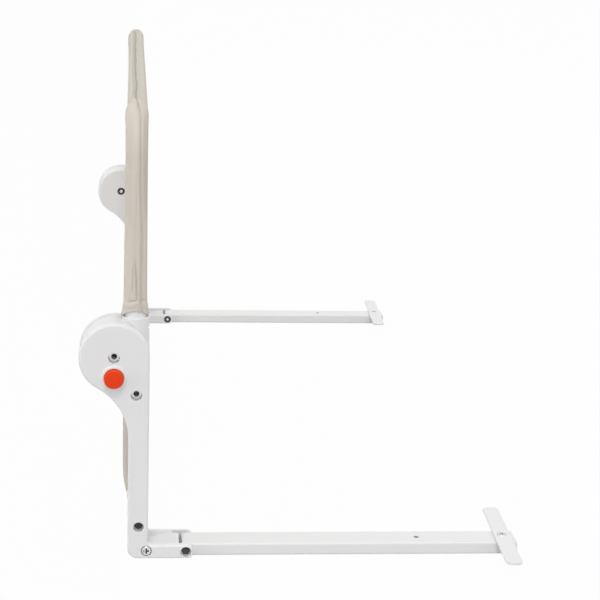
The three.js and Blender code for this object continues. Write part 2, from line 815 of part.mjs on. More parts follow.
function stationAt(y, z, turn) {
  return {
    point: new THREE.Vector3(socketX, y, z),
    direction: new THREE.Vector3(0, Math.sin(turn), Math.cos(turn)),
  };
}

function socketScrew() {
  const seat = socketX + socketRadius - socketScrewSink - socketScrewHeadHeight + clearance;
  const height = socketTop - socketScrewDrop;
  return join(
    barAlongX(unitMiddle, height, socketScrewHeadRadius, seat, seat + socketScrewHeadHeight, smallSides),
    barAlongX(unitMiddle, height, socketScrewRadius, seat - socketScrewLength, seat + socketScrewSink,
      smallSides),
  );
}

// A straight tube along Y, centred on the rail's middle.
function straightTube(x, z, radius, wall, halfLength) {
  return cut(
    barAlongY(x, z, radius, -halfLength, halfLength),
    barAlongY(x, z, radius - wall, -halfLength - overrun, halfLength + overrun),
  );
}

function topTube() {
  return straightTube(socketX, topTubeHeight, tubeRadius, tubeWall, topTubeEnd - clearance);
}

function lowerCrossTube() {
  const halfLength = railLength / 2 - unitDepth + crossTubePlug - clearance;
  return straightTube(crossTubeX, crossTubeHeight, crossTubeRadius, tubeWall, halfLength);
}

// A panel with half-round edges, drawn in evenly by an inset, that runs down past its lower edge.
function roundEdgedPanel(inset) {
  const half = coverHalfWidth - inset;
  const top = railHeight - inset;
  const corner = bendRadius + coverThickness / 2 - inset;
  const outline = new THREE.Shape();
  addPoint(outline, half, coverBottom - coverThickness);
  addArc(outline, half - corner, top - corner, corner, 0, Math.PI / 2, coverCornerSteps);
  addArc(outline, corner - half, top - corner, corner, Math.PI / 2, Math.PI, coverCornerSteps);
  addPoint(outline, -half, coverBottom - coverThickness);
  const bevel = coverThickness / 2 - inset - fabricWall / 2;
  const geometry = new THREE.ExtrudeGeometry(outline, {
    depth: fabricWall,
    bevelEnabled: true,
    bevelThickness: bevel,
    bevelSize: bevel,
    bevelOffset: -bevel,
    bevelSegments: coverBevelSteps,
  });
  return solid(geometry.applyMatrix4(turnToX).translate(coverX - fabricWall / 2, 0, 0));
}

// The front view of the cover: full width above the sockets, narrower between the side units.
function coverFront(inset, drop) {
  const [wide, narrow] = [coverHalfWidth, coverLowerHalfWidth - inset];
  const front = new THREE.Shape();
  front.moveTo(wide, railHeight + overrun);
  front.lineTo(-wide, railHeight + overrun);
  front.lineTo(-wide, cuffBottom - drop);
  front.lineTo(-narrow, cuffBottom - drop);
  front.lineTo(-narrow, coverBottom - drop);
  front.lineTo(narrow, coverBottom - drop);
  front.lineTo(narrow, cuffBottom - drop);
  front.lineTo(wide, cuffBottom - drop);
  return slabAlongX(front, coverX - coverThickness, coverX + coverThickness);
}

// The cover is a bag over the frame, open below.
function fabricCover() {
  const outside = roundEdgedPanel(0).intersect(coverFront(0, 0));
  const inside = roundEdgedPanel(fabricWall).intersect(coverFront(fabricWall, overrun));
  return cut(outside, inside);
}

// The skirt hangs between the side units, open at its top, with a hem round the lower cross tube.
function fabricSkirt() {
  const hemHeight = crossTubeHeight - crossTubeRadius - clearance - fabricWall + hemRadius;
  const outline = new THREE.Shape();
  const draw = (inset, order) => {
    const half = coverThickness / 2 - inset;
    const parts = [
      () => addPoint(outline, coverX - half, skirtTop),
      () => addPoint(outline, coverX - half, skirtTaperHeight),
      () => addArc(outline, crossTubeX, hemHeight, hemRadius - inset,
        order > 0 ? Math.PI : 2 * Math.PI, order > 0 ? 2 * Math.PI : Math.PI, hemSteps),
      () => addPoint(outline, coverX + half, skirtTop),
    ];
    (order > 0 ? parts : parts.reverse()).forEach((part) => part());
  };
  draw(0, 1);
  draw(fabricWall, -1);
  return slab(outline, -coverLowerHalfWidth, coverLowerHalfWidth);
}

// Pieces of a side unit, with Y measured inward from its outer face.
const sidePieces = [
  ['outer_housing', outerHousing(), whitePlastic],
  ['inner_housing', innerHousing(), whitePlastic],
  ['hinge_rotor', hingeRotor(), whitePlastic],
  ['hinge_bolt', hingeBolt(), blackSteel],
  ['hinge_nut', hingeNut(), brightSteel],
  ['release_button', releaseButton(), orangePlastic],
  ['latch_pin', latchPin(), brightSteel],
  ['latch_spring', latchSpring(), brightSteel],
  ['upper_housing_screw', housingScrew(upperScrewX, upperScrewHeight), blackSteel],
  ['lower_housing_screw', housingScrew(lowerScrewX, lowerScrewHeight), blackSteel],
  ['corner_screw', cornerScrew(), brightSteel],
  ['post_tube', postTube(), brightSteel],
  ['arm_bolt', armBolt(), blackSteel],
  ['arm_nut', armNut(), blackSteel],
  ['bed_arm', bedArm(), whiteSteel],
  ['arm_end_cap', armEndCap(), whitePlastic],
  ['paddle_screw', paddleScrew(), brightSteel],
  ['paddle_nut', paddleNut(), brightSteel],
  ['frame_corner_tube', frameCornerTube(), whiteSteel],
  ['socket_screw', socketScrew(), brightSteel],
];

// Pieces that run the whole length, with Y measured from the rail's middle.
const longPieces = [
  ['top_tube', topTube(), whiteSteel],
  ['lower_cross_tube', lowerCrossTube(), whiteSteel],
  ['fabric_cover', fabricCover(), beigeFabric],
  ['fabric_skirt', fabricSkirt(), beigeFabric],
];

// Mirrors a geometry in Y and turns its faces out again.
function mirrored(geometry) {
  const copy = geometry.clone().scale(1, -1, 1);
  flip(copy.index.array);
  copy.computeVertexNormals();
  return copy;
}

function piece(name, geometry, material) {
  const mesh = new THREE.Mesh(geometry, material);
  mesh.name = name;
  return mesh;
}

// One side unit. The right one stands at -Y, and the left one is its mirror image.
function sideUnit(side) {
  const isRight = side === 'right';
  const unit = new THREE.Group();
  unit.position.y = isRight ? -railLength / 2 : railLength / 2;
  for (const [name, shape, material] of sidePieces) {
    const geometry = geometryOf(shape);
    unit.add(piece(`${side}_${name}`, isRight ? geometry : mirrored(geometry), material));
  }
  const plate = piece(`${side}_paddle`, geometryOf(paddle()), whiteSteel);
  plate.position.set(paddleX, isRight ? unitMiddle : -unitMiddle, 0);
  plate.rotation.z = paddleTurn;
  unit.add(plate);
  return unit;
}

// The origin stands on the base, in the middle of the box round the whole rail.
const rail = new THREE.Group();
rail.position.x = -(caseRearX + capEnd) / 2;
rail.add(sideUnit('right'), sideUnit('left'));
for (const [name, shape, material] of longPieces) rail.add(piece(name, geometryOf(shape), material));

const root = new THREE.Group();
root.add(rail);
export default root;
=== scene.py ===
# A folding bed guard rail: a cloth cover on a tube frame between two white hinge units with
# flat arms that go under the mattress. Metres, +Z up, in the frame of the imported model.
import json
from math import atan2, cos, hypot, pi, radians, sin, sqrt

import bmesh
import bpy
import numpy as np
from mathutils import Matrix, Vector
from mathutils.bvhtree import BVHTree


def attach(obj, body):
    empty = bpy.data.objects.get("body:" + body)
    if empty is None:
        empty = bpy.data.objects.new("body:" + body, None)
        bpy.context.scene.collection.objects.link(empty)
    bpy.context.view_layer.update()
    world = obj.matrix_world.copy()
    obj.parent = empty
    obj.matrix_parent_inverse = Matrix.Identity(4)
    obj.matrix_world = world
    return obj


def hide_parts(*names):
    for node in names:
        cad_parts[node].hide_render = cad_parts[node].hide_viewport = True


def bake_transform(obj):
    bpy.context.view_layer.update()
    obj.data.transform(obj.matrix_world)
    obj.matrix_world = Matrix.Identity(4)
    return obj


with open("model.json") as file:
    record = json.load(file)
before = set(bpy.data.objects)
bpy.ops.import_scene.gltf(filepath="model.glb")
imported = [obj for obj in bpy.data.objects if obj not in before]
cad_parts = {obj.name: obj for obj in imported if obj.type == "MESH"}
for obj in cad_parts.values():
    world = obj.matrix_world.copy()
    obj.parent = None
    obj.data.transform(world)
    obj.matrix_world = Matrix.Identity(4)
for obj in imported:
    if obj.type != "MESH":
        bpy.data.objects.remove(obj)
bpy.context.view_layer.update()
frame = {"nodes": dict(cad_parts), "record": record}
scene = bpy.context.scene


# Camera: stands low in front of the near side unit and looks along the rail. The photograph
# is a crop from the lower right of a larger picture, so the lens is shifted a little.
camera_place = Vector((-0.2036, -2.5287, 0.7651))
yaw = radians(4.69)
pitch = radians(11.16)
roll = 0.0252


def set_all(thing, **settings):
    for key, value in settings.items():
        setattr(thing, key, value)
    return thing


def in_scene(name, data, **settings):
    thing = bpy.data.objects.new(name, set_all(data, **settings))
    scene.collection.objects.link(thing)
    return thing


camera = in_scene("camera", bpy.data.cameras.new("camera"), lens=103.9, sensor_width=36, shift_x=0.05,
                  shift_y=-0.1, clip_end=60)
ahead = Vector((sin(yaw) * cos(pitch), cos(yaw) * cos(pitch), -sin(pitch)))
level_right = Vector((cos(yaw), -sin(yaw), 0))
level_up = level_right.cross(ahead)
right = level_right * cos(roll) + level_up * sin(roll)
up = level_up * cos(roll) - level_right * sin(roll)
camera.matrix_world = Matrix.Translation(camera_place) @ Matrix((right, up, -ahead)).transposed().to_4x4()
scene.camera = camera
scene.view_settings.view_transform = "Standard"


# Stage: a white base that the rail stands on, as a bed's base would be, with its edge just
# outside the posts, so that the cover can fold down past it onto a lower floor.
class Value:
    """An output of a node. A sum or a product of values adds a Math node for each step."""

    def __init__(self, graph, socket):
        self.graph = graph
        self.socket = socket

    def beside(self, output):
        """Another output of the same node."""
        return Value(self.graph, self.socket.node.outputs[output])

    def step(self, operation, *others):
        return self.graph.add("ShaderNodeMath", enumerate((self, *others)), operation=operation)

    def __add__(self, other):
        return self.step("ADD", other)

    def __sub__(self, other):
        return self.step("SUBTRACT", other)

    def __mul__(self, other):
        return self.step("MULTIPLY", other)


class Graph:
    """A node tree. add() makes any node from its type, settings and inputs."""

    def __init__(self, tree):
        self.tree = tree

    def add(self, kind, inputs=(), output=0, **settings):
        node = set_all(self.tree.nodes.new(kind), **settings)
        for key, value in dict(inputs).items():
            for one in value if isinstance(value, list) else [value]:
                self.put(node.inputs[key], one)
        return Value(self, node.outputs[output])

    def put(self, socket, value):
        if isinstance(value, Value):
            self.tree.links.new(value.socket, socket)
        else:
            socket.default_value = value


class Finish(Graph):
    """A material and its nodes."""

    def __init__(self, name, base, **constants):
        self.material = bpy.data.materials.new(name)
        self.material.use_nodes = True
        super().__init__(self.material.node_tree)
        self.shader = self.tree.nodes["Principled BSDF"]
        self.drive("Base Color", (*base, 1))
        for key, value in constants.items():
            self.drive(key.replace("_", " "), value)

    def drive(self, name, value):
        self.put(self.shader.inputs[name], value)

    def grain(self, scale, detail=2.0, roughness=0.5, vector=None):
        return self.add("ShaderNodeTexNoise", {
            "Vector": vector or self.add("ShaderNodeTexCoord", output="Object"),
            "Scale": scale, "Detail": detail, "Roughness": roughness,
        })

    def blend(self, factor, first, second):
        return self.add("ShaderNodeMix", {0: factor, 6: (*first, 1), 7: (*second, 1)}, 2, data_type="RGBA")

    def bump(self, height, distance, strength, under=None):
        inputs = {"Height": height, "Distance": distance, "Strength": strength}
        if under:
            inputs["Normal"] = under
        return self.add("ShaderNodeBump", inputs)


def grained(name, base, dull, clouds, roughness, swing, smears, bumps, **constants):
    """A material whose colour and roughness drift a little, with a fine grain on its surface."""
    finish = Finish(name, base, Roughness=roughness, **constants)
    dark = tuple(level * dull for level in base)
    finish.drive("Base Color", finish.blend(finish.grain(*clouds), dark, base))
    finish.drive("Roughness", finish.grain(*smears) * swing + (roughness - swing / 2))
    normal = None
    for grain, distance, strength in bumps:
        normal = finish.bump(finish.grain(*grain), distance, strength, normal)
    finish.drive("Normal", normal)
    return finish.material


ambient = 0.66
floor_white = 0.65
floor_share_seen = 0.97
base_edge = -0.2105
lower_floor = -0.62
floor_reach = 40.0
rail_middle = (0, 0, 0.25)


# The floor is a white that takes the rail's shadow and is nearly plain white where it is seen.
floor = Finish("pale_floor", (floor_white,) * 3, Roughness=0.9)
rays = floor.add("ShaderNodeLightPath", output="Is Camera Ray")
seen = rays + rays.beside("Is Glossy Ray") + rays.beside("Is Transmission Ray")
floor.put(floor.tree.nodes["Material Output"].inputs["Surface"], floor.add("ShaderNodeMixShader", {
    0: seen * floor_share_seen,
    1: Value(floor, floor.shader.outputs[0]),
    2: floor.add("ShaderNodeEmission", {"Color": (1, 1, 1, 1), "Strength": 1.0}),
}))


def mesh_of(name, points, faces=(), edges=()):
    mesh = bpy.data.meshes.new(name)
    mesh.from_pydata(points, edges, faces)
    return mesh


for name, start, end in (("base_top", (base_edge, 0), (floor_reach, 0)),
                         ("base_side", (base_edge, lower_floor), (base_edge, 0)),
                         ("lower_floor", (-floor_reach, lower_floor), (base_edge, lower_floor))):
    corners = [(x, y * floor_reach, z) for (x, z), y in ((start, -1), (end, -1), (end, 1), (start, 1))]
    mesh = mesh_of(name, corners, [(0, 1, 2, 3)])
    mesh.materials.append(floor.material)
    in_scene(name, mesh)

world = bpy.data.worlds.new("studio")
scene.world = world
world.use_nodes = True
sky = Graph(world.node_tree)
backdrop = sky.tree.nodes["Background"]
backdrop.inputs["Color"].default_value = (1, 1, 1, 1)
backdrop.inputs["Strength"].default_value = ambient
rays = sky.add("ShaderNodeLightPath", output="Is Camera Ray")
sky.put(sky.tree.nodes["World Output"].inputs["Surface"], sky.add("ShaderNodeMixShader", {
    0: rays.step("MAXIMUM", rays.beside("Is Glossy Ray")),
    1: Value(sky, backdrop.outputs[0]),
    2: sky.add("ShaderNodeBackground", {"Color": (1, 1, 1, 1)}),
}))


for name, place, size, power in (
        ("key_front", (-0.9, -10.9, 18.7), 6.0, 1390), ("fill_left", (-8.5, -3.0, 1.6), 3.0, 105),
        ("top_behind", (1.8, 3.6, 6.4), 4.0, 20), ("fill_right", (5.2, -3.2, 2.4), 4.0, 10)):
    lamp = in_scene(name, bpy.data.lights.new(name, "AREA"), shape="DISK", size=size, energy=power)
    lamp.location = place
    lamp.visible_camera = False
    lamp.rotation_euler = (Vector(rail_middle) - Vector(place)).to_track_quat("-Z", "Y").to_euler()


# Casing of each side unit: two injection-moulded white plastic halves, bolted and screwed
# together, that carry the hinge above and clasp the arm's root in the foot below.
def moulded(name, base, roughness, shine=0.5):
    ripple, spark = ((70, 1), 0.00012, 0.35), ((2600, 2, 0.6), 0.00004, 0.3)
    return grained(name, base, 0.965, (9, 3), roughness, 0.12, (60, 2), (ripple, spark), IOR=1.49,
                   Coat_Roughness=0.12, Specular_IOR_Level=shine)


white_plastic = moulded("white_plastic", (0.86, 0.86, 0.862), 0.46)

mm = 0.001
post_shift = 192.25
unit_depth = 57
unit_middle = unit_depth / 2
half_length = 600
post_face = 12
hinge = hinge_x, hinge_z = -29, 243
plate_radius = 41
plate_thickness = 12.2
inner_plate = unit_depth - plate_thickness
swoop_radius = 70
plate_rim, post_rim = 4.2, 2.4
rim_from, rim_to = 205, 225
heel_radius = 12
heel_height = 20
wall = 2.8
gap = 0.3
foot_end, foot_height, foot_round, foot_fillet = 65, 16, 5, 4
foot_wall = 8.6
arm_pivot = 57, 7.5
web_end, web_knee = 49.1, 41
web_top, web_low = 14.2, 8.5
socket_x, socket_radius, socket_top = -4.5, 16, 287
neck_radius, neck_top = 12.4, 298
rotor_radius = 40
latch_drop = 23.3
button = hinge_x, hinge_z - latch_drop
button_radius = 11.2
recess_radius, recess_depth = 6.7, 9.5
upper_screw, lower_screw = (-3, 198.5), (1, 38.5)
insert_radius, insert_end = 5.2, 13
heel_screw = (10.4, 9.4)
cross_tube = hem_x, hem_z = -2.5, 61.5
full_turn, quarter = 2 * pi, pi / 2
sides = {"right": -1, "left": 1}


def arc(x, z, radius, start, end, steps):
    return [(x + radius * cos(a), z + radius * sin(a)) for a in np.linspace(start, end, steps + 1)]


def rounded_box(x_start, x_end, z_start, z_end, corner, steps):
    places = ((x_end - corner, z_end - corner), (x_start + corner, z_end - corner),
              (x_start + corner, z_start + corner), (x_end - corner, z_start + corner))
    return [p for k, (x, z) in enumerate(places)
            for p in arc(x, z, corner, k * quarter, (k + 1) * quarter, steps)]


def casing_outline(with_foot, inset=0.0):
    disc, swoop = plate_radius - inset, swoop_radius + inset
    swoop_x = -post_face - swoop_radius
    drop = sqrt((plate_radius + swoop_radius) ** 2 - (hinge_x - swoop_x) ** 2)
    meeting = atan2(-drop, swoop_x - hinge_x) + full_turn
    heel, edge = heel_radius - inset, post_face - inset
    points = arc(*hinge, disc, 0, meeting, 72)
    points += arc(swoop_x, hinge_z - drop, swoop, meeting - 2 * quarter, 0, 24)
    points += arc(-post_face + heel_radius, heel_radius, heel, 2 * quarter, 3 * quarter, 10)
    if with_foot:
        end, low, high = foot_end - foot_round, foot_round - inset, foot_fillet + inset
        points += arc(end, foot_round, low, -quarter, 0, 8)
        points += arc(end, foot_height - foot_round, low, 0, quarter, 8)
        points += arc(post_face + foot_fillet, foot_height + foot_fillet, high, 3 * quarter, 2 * quarter, 8)
    else:
        points.append((edge, inset))
    return points


def solid(name, rings):
    """A closed mesh through rings of points, each with as many points, capped at both ends."""
    count = len(rings[0])
    faces = [tuple(range(count))[::-1], tuple(range((len(rings) - 1) * count, len(rings) * count))]
    for k in range(len(rings) - 1):
        for i in range(count):
            j = (i + 1) % count
            faces.append((k * count + i, k * count + j, (k + 1) * count + j, (k + 1) * count + i))
    mesh = mesh_of(name, [p for ring in rings for p in ring], faces)
    shape = bmesh.new()
    shape.from_mesh(mesh)
    bmesh.ops.remove_doubles(shape, verts=shape.verts, dist=1e-5)
    bmesh.ops.recalc_face_normals(shape, faces=shape.faces)
    shape.to_mesh(mesh)
    shape.free()
    return in_scene(name, mesh)


def layered(name, section, layers, at):
    """A solid through one section, drawn in by an inset at each place along its way."""
    return solid(name, [[at(a, b, place) for a, b in section(inset)] for inset, place in layers])


def slab(outline, start, end):
    return solid("slab", [[(x, u, z) for x, z in outline] for u in (start, end)])


def block(x0, x1, u0, u1, z0, z1):
    return slab([(x0, z0), (x1, z0), (x1, z1), (x0, z1)], u0, u1)


def revolved(profile, count, at):
    """Turned about a line. The profile lists radius and place along the line."""
    return solid("turned", [[at(max(radius, 1e-4) * cos(a), max(radius, 1e-4) * sin(a), run)
                             for a in np.linspace(0, full_turn, count, endpoint=False)]
                            for radius, run in profile])


def pointed(profile):
    """The profile with both its ends drawn in to the line."""
    return [(0, profile[0][1]), *profile, (0, profile[-1][1])]


def turned(x, z, profile, count=48):
    return revolved(pointed(profile), count, lambda across, up, u: (x + across, u, z + up))


def upright(x, u, profile, count=48):
    return revolved(pointed(profile), count, lambda across, deep, z: (x + across, u + deep, z))


def along_x(u, z, radius, start, end):
    return revolved([(radius, start), (radius, end)], 32, lambda deep, up, x: (x, u + deep, z + up))


def bar(x, z, radius, start, end, count=48):
    return revolved([(radius, start), (radius, end)], count, lambda across, up, u: (x + across, u, z + up))


def rounded(radius, face, inward, size, steps=5):
    """Profile points of a rounded edge, from the flat face round to the side."""
    return [(radius - size * (1 - sin(t)), face + inward * size * (1 - cos(t)))
            for t in np.linspace(0, quarter, steps + 1)]


def applied(thing):
    """Makes what the thing's modifiers show its own mesh."""
    result = bpy.data.meshes.new_from_object(thing.evaluated_get(bpy.context.evaluated_depsgraph_get()))
    thing.modifiers.clear()
    thing.data = result
    return thing


def carve(thing, tool, operation):
    """Joins, cuts or meets a solid with another one, which is used up."""
    set_all(thing.modifiers.new("carve", "BOOLEAN"), operation=operation, object=tool, solver="MANIFOLD")
    applied(thing)
    bpy.data.objects.remove(tool)
    return thing


def join(thing, *tools):
    for tool in tools:
        carve(thing, tool, "UNION")
    return thing


def cut(thing, *tools):
    for tool in tools:
        carve(thing, tool, "DIFFERENCE")
    return thing


def sunk_hole(x, z, radius, depth, hole, end, mouth=0.5):
    return turned(x, z, [(radius + mouth, -9), (radius + mouth, 0), (radius, mouth), (radius, depth),
                         (hole, depth), (hole, end)])


def slot_name(material):
    """The material's name without the number that Blender puts after a name in use."""
    return material.name.partition(".")[0]


def set_in_place(thing, name, side, material, replaced=(), body="side_frames", sharp=32):
    """Moves a shape from its unit's own millimetres into the frame, in metres. Names it, smooths it
    but for its sharp edges, and gives it its material, its body and the nodes that it replaces."""
    mesh = thing.data
    sign = sides[side]
    mesh.transform(Matrix.Translation((-post_shift * mm, sign * half_length * mm, 0))
                   @ Matrix.Diagonal((mm, -sign * mm, mm, 1)))
    if sign > 0:
        mesh.flip_normals()
    thing.name = mesh.name = f"{side}_{name}"
    mesh.materials.clear()
    mesh.materials.append(material)
    mesh.polygons.foreach_set("use_smooth", [True] * len(mesh.polygons))
    mesh.set_sharp_from_angle(angle=radians(sharp))
    set_all(thing.modifiers.new("even_normals", "WEIGHTED_NORMAL"), keep_sharp=True, weight=80)
    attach(thing, body)
    if replaced:
        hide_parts(*[f"{side}_{node}" for node in replaced])


def rotor_space():
    folded_x = 2 * hinge_x - socket_x + socket_radius + 1
    room = bar(*hinge, rotor_radius + 0.5, plate_thickness, inner_plate, 96)
    return join(
        room,
        block(hinge_x - plate_radius, post_face + 1, plate_thickness, inner_plate, hinge_z - 12, socket_top),
        block(hinge_x - plate_radius - 1, folded_x, plate_thickness, inner_plate, hinge_z - 45, hinge_z),
    )


def casing_half():
    """Either half before its holes, with its outer face at depth 0 and its parting edge at the middle."""
    rings = []
    for turn in np.linspace(0, quarter, 9):
        drawn, deep = 1 - sin(turn), 1 - cos(turn)
        ring = []
        for (x, z), (plate_x, plate_z) in zip(casing_outline(True, post_rim * drawn),
                                              casing_outline(True, plate_rim * drawn)):
            share = min(max((z - rim_from) / (rim_to - rim_from), 0), 1)
            depth = (post_rim + (plate_rim - post_rim) * share) * deep
            ring.append((x + (plate_x - x) * share, depth, z + (plate_z - z) * share))
        rings.append(ring)
    for inset, depth in ((0, unit_middle - 0.55), (0.3, unit_middle - 0.2), (0.3, unit_middle)):
        rings.append([(x, depth, z) for x, z in casing_outline(True, inset)])
    body = solid("casing", rings)
    cut(body, block(post_face, foot_end + 1, foot_wall, unit_depth, -1, foot_height + foot_fillet))
    join(body, slab([(post_face - 1, 0), (web_end, 0), (web_end, web_top - 0.6), (web_end - 0.6, web_top),
                     (web_knee, web_top), (post_face, web_low), (post_face - 1, web_low)],
                    foot_wall - 1, unit_middle))
    hollow = slab(casing_outline(False, wall), wall, unit_middle + 1)
    cut(hollow, bar(*hinge, rotor_radius + 0.5 + wall, -1, unit_depth, 96),
        block(-30, 30, -1, unit_depth, -1, heel_height))
    cut(body, hollow, rotor_space())
    towers = [bar(*hinge, 11, plate_thickness - 1, unit_middle - 0.15)]
    for (x, z), radius, end in ((upper_screw, recess_radius, unit_middle), (lower_screw, 6.15, 13.2)):
        towers.append(bar(x, z, radius + 2, 1.2, recess_depth + 2))
        towers.append(bar(x, z, 5.5, recess_depth, end))
    return join(body, *towers)


def outer_casing():
    body = casing_half()
    ring_radius = button_radius + 3.2
    collar = turned(*button, [*rounded(ring_radius, -3, 1, 1.1), (ring_radius, -0.6),
                                        (ring_radius + 0.5, -0.1), (ring_radius + 1.2, 0.1),
                                        (ring_radius + 1.2, 1.2)], 96)
    join(body, collar)
    return cut(
        body,
        sunk_hole(*hinge, recess_radius, recess_depth, 3.5, 21),
        bar(*hinge, 6.1, 20, unit_middle + 1, 6),
        sunk_hole(*upper_screw, recess_radius, recess_depth, 3.5, unit_depth),
        sunk_hole(*lower_screw, 6.15, recess_depth, insert_radius + 0.1, insert_end + 0.3),
        sunk_hole(*heel_screw, 6.5, 3.6, 2.5, unit_depth, 0.25),
        sunk_hole(*arm_pivot, 6.25, 7, 3.3, unit_depth, 0.8),
        turned(*button, [(button_radius + more, u) for more, u in (
            (0.9, -4), (0.9, -3), (0.3, -2.4), (0.3, 0.7), (1.8, 0.7), (1.8, plate_thickness + 1))], 96),
        slab(rounded_box(-6.6, 8.4, 77, 144, 1.5, 4), -1, 0.3),
    )


def inner_casing():
    shell = cut(
        casing_half(),
        sunk_hole(*hinge, recess_radius, recess_depth, 3.3, unit_depth),
        sunk_hole(*upper_screw, recess_radius, recess_depth, 2.5, unit_depth),
        sunk_hole(*lower_screw, 6.15, recess_depth, 2.5, unit_depth),
        sunk_hole(*arm_pivot, 6.25, 5, 3.3, unit_depth, 0.4),
    )
    shell.data.transform(Matrix.Translation((0, unit_depth, 0)) @ Matrix.Diagonal((1, -1, 1, 1)))
    shell.data.flip_normals()
    join(shell, bar(*cross_tube, 10.5, 45, 55.8))
    return cut(
        shell,
        bar(*cross_tube, 8.3, 46.5, unit_depth + 1),
        bar(*button, 6.3, inner_plate - 1, unit_depth - 2),
        bar(*heel_screw, 2.5, 20, 43.9),
        block(web_end - 7.7, web_end + 10.4, 47.2, 50.6, 5, foot_height + 1),
    )


for side in sides:
    set_in_place(outer_casing(), "outer_casing", side, white_plastic, ["outer_housing"])
    set_in_place(inner_casing(), "inner_casing", side, white_plastic, ["inner_housing"])


# Hinge rotor: a white drum that turns between the plates, with a socket for the upright.
# Moulded in one; a curved slot lets the latch pin through and a screw holds the upright.
def latch_track():
    half = 6.5
    return slab(
        arc(*hinge, latch_drop + half, quarter, 3 * quarter, 32)
        + arc(hinge_x, hinge_z - latch_drop, half, -quarter, quarter, 12)
        + arc(*hinge, latch_drop - half, 3 * quarter, quarter, 32)
        + arc(hinge_x, hinge_z + latch_drop, half, -quarter, quarter, 12),
        12, 45)


def rotor():
    first, last = plate_thickness + gap, inner_plate - 0.12
    drum = turned(*hinge, [*rounded(rotor_radius, first, 1, 0.8),
                                     *rounded(rotor_radius, last, -1, 0.3)[::-1]], 96)
    socket, neck = (upright(socket_x, unit_middle, [(radius, start), *rounded(radius, end, -1, soft)[::-1]], 72)
                    for radius, start, end, soft in ((socket_radius, hinge_z, socket_top, 1.3),
                                                     (neck_radius, socket_top - 2, neck_top, 0.8)))
    screw_z = socket_top - 15
    screw = join(along_x(unit_middle, screw_z, 4.3, 8.5, 14), along_x(unit_middle, screw_z, 2.3, -4.5, 12))
    return cut(
        join(drum, socket, neck),
        upright(socket_x, unit_middle, [(11.3, 247), (11.3, neck_top + 1)], 72),
        bar(*hinge, 11.3, 11, 46),
        latch_track(),
        screw,
    )


for side in sides:
    set_in_place(rotor(), "rotor", side, white_plastic, ["hinge_rotor"], "folding_rail")


# Release button: a glossy orange plastic push button in a raised white collar, held by a
# flange behind the plate. Its front edge is well rounded and its face slightly crowned.
orange_plastic = moulded("orange_plastic", (0.9, 0.052, 0.002), 0.24, 0.2)

for side in sides:
    flat = button_radius - 2.2
    crown = [(flat * (1 - k / 6), -8 - 0.35 * (1 - (1 - k / 6) ** 2)) for k in range(6, 0, -1)]
    face = turned(*button, [*crown, *rounded(button_radius, -8, 1, 2.2, 7), (button_radius, 1),
                                      (button_radius + 1.5, 1), (button_radius + 1.5, 3)], 96)
    set_in_place(face, "button", side, orange_plastic, ["release_button"], f"{side}_button", 40)


# Bolts, screws and nuts: turned steel, zinc plated where the photograph shows a bright cross
# head, and black where it shows a dark recess. One node tree turns out every one of them.
def metal(name, base, roughness, metallic):
    return grained(name, base, 0.86, (420, 3), roughness, 0.18, (900, 2), [((1800, 2), 0.00003, 0.4)],
                   Metallic=metallic)


bright_steel = metal("bright_steel", (0.76, 0.76, 0.76), 0.26, 1.0)
# Black steel for the bolts and nuts in the deep recesses: a dark finish that also stands in for part of the
# recesses' shade.
black_steel = metal("black_steel", (0.075, 0.075, 0.078), 0.42, 0.6)


class Tree(Graph):
    """A geometry node tree with its named sizes, which grows pieces from points or lines."""

    def __init__(self, name, material, sizes):
        super().__init__(bpy.data.node_groups.new(name, "GeometryNodeTree"))
        self.material = material
        for way in ("INPUT", "OUTPUT"):
            self.tree.interface.new_socket("Geometry", in_out=way, socket_type="NodeSocketGeometry")
        for key in sizes:
            kind = "Int" if key == "sides" else "Float"
            self.tree.interface.new_socket(key, in_out="INPUT", socket_type=f"NodeSocket{kind}")
        given = self.tree.nodes.new("NodeGroupInput")
        self.sizes = {socket.name: Value(self, socket) for socket in given.outputs if socket.name}

    def finish(self, geometry):
        real = self.add("GeometryNodeRealizeInstances", {"Geometry": geometry})
        painted = self.add("GeometryNodeSetMaterial", {"Geometry": real, "Material": self.material})
        self.put(self.tree.nodes.new("NodeGroupOutput").inputs["Geometry"], painted)
        return self

    def grow(self, name, points, edges=(), **sizes):
        """Runs the tree on points or a line, and returns what it makes as a plain mesh object."""
        thing = in_scene(name, mesh_of(name, points, edges=edges))
        change = thing.modifiers.new("grow", "NODES")
        change.node_group = self.tree
        for item in self.tree.interface.items_tree:
            if item.in_out == "INPUT" and item.name in sizes:
                change[item.identifier] = sizes[item.name]
        return applied(thing)


screw_sizes = ("head", "height", "shank", "length", "sides", "cross", "turn")


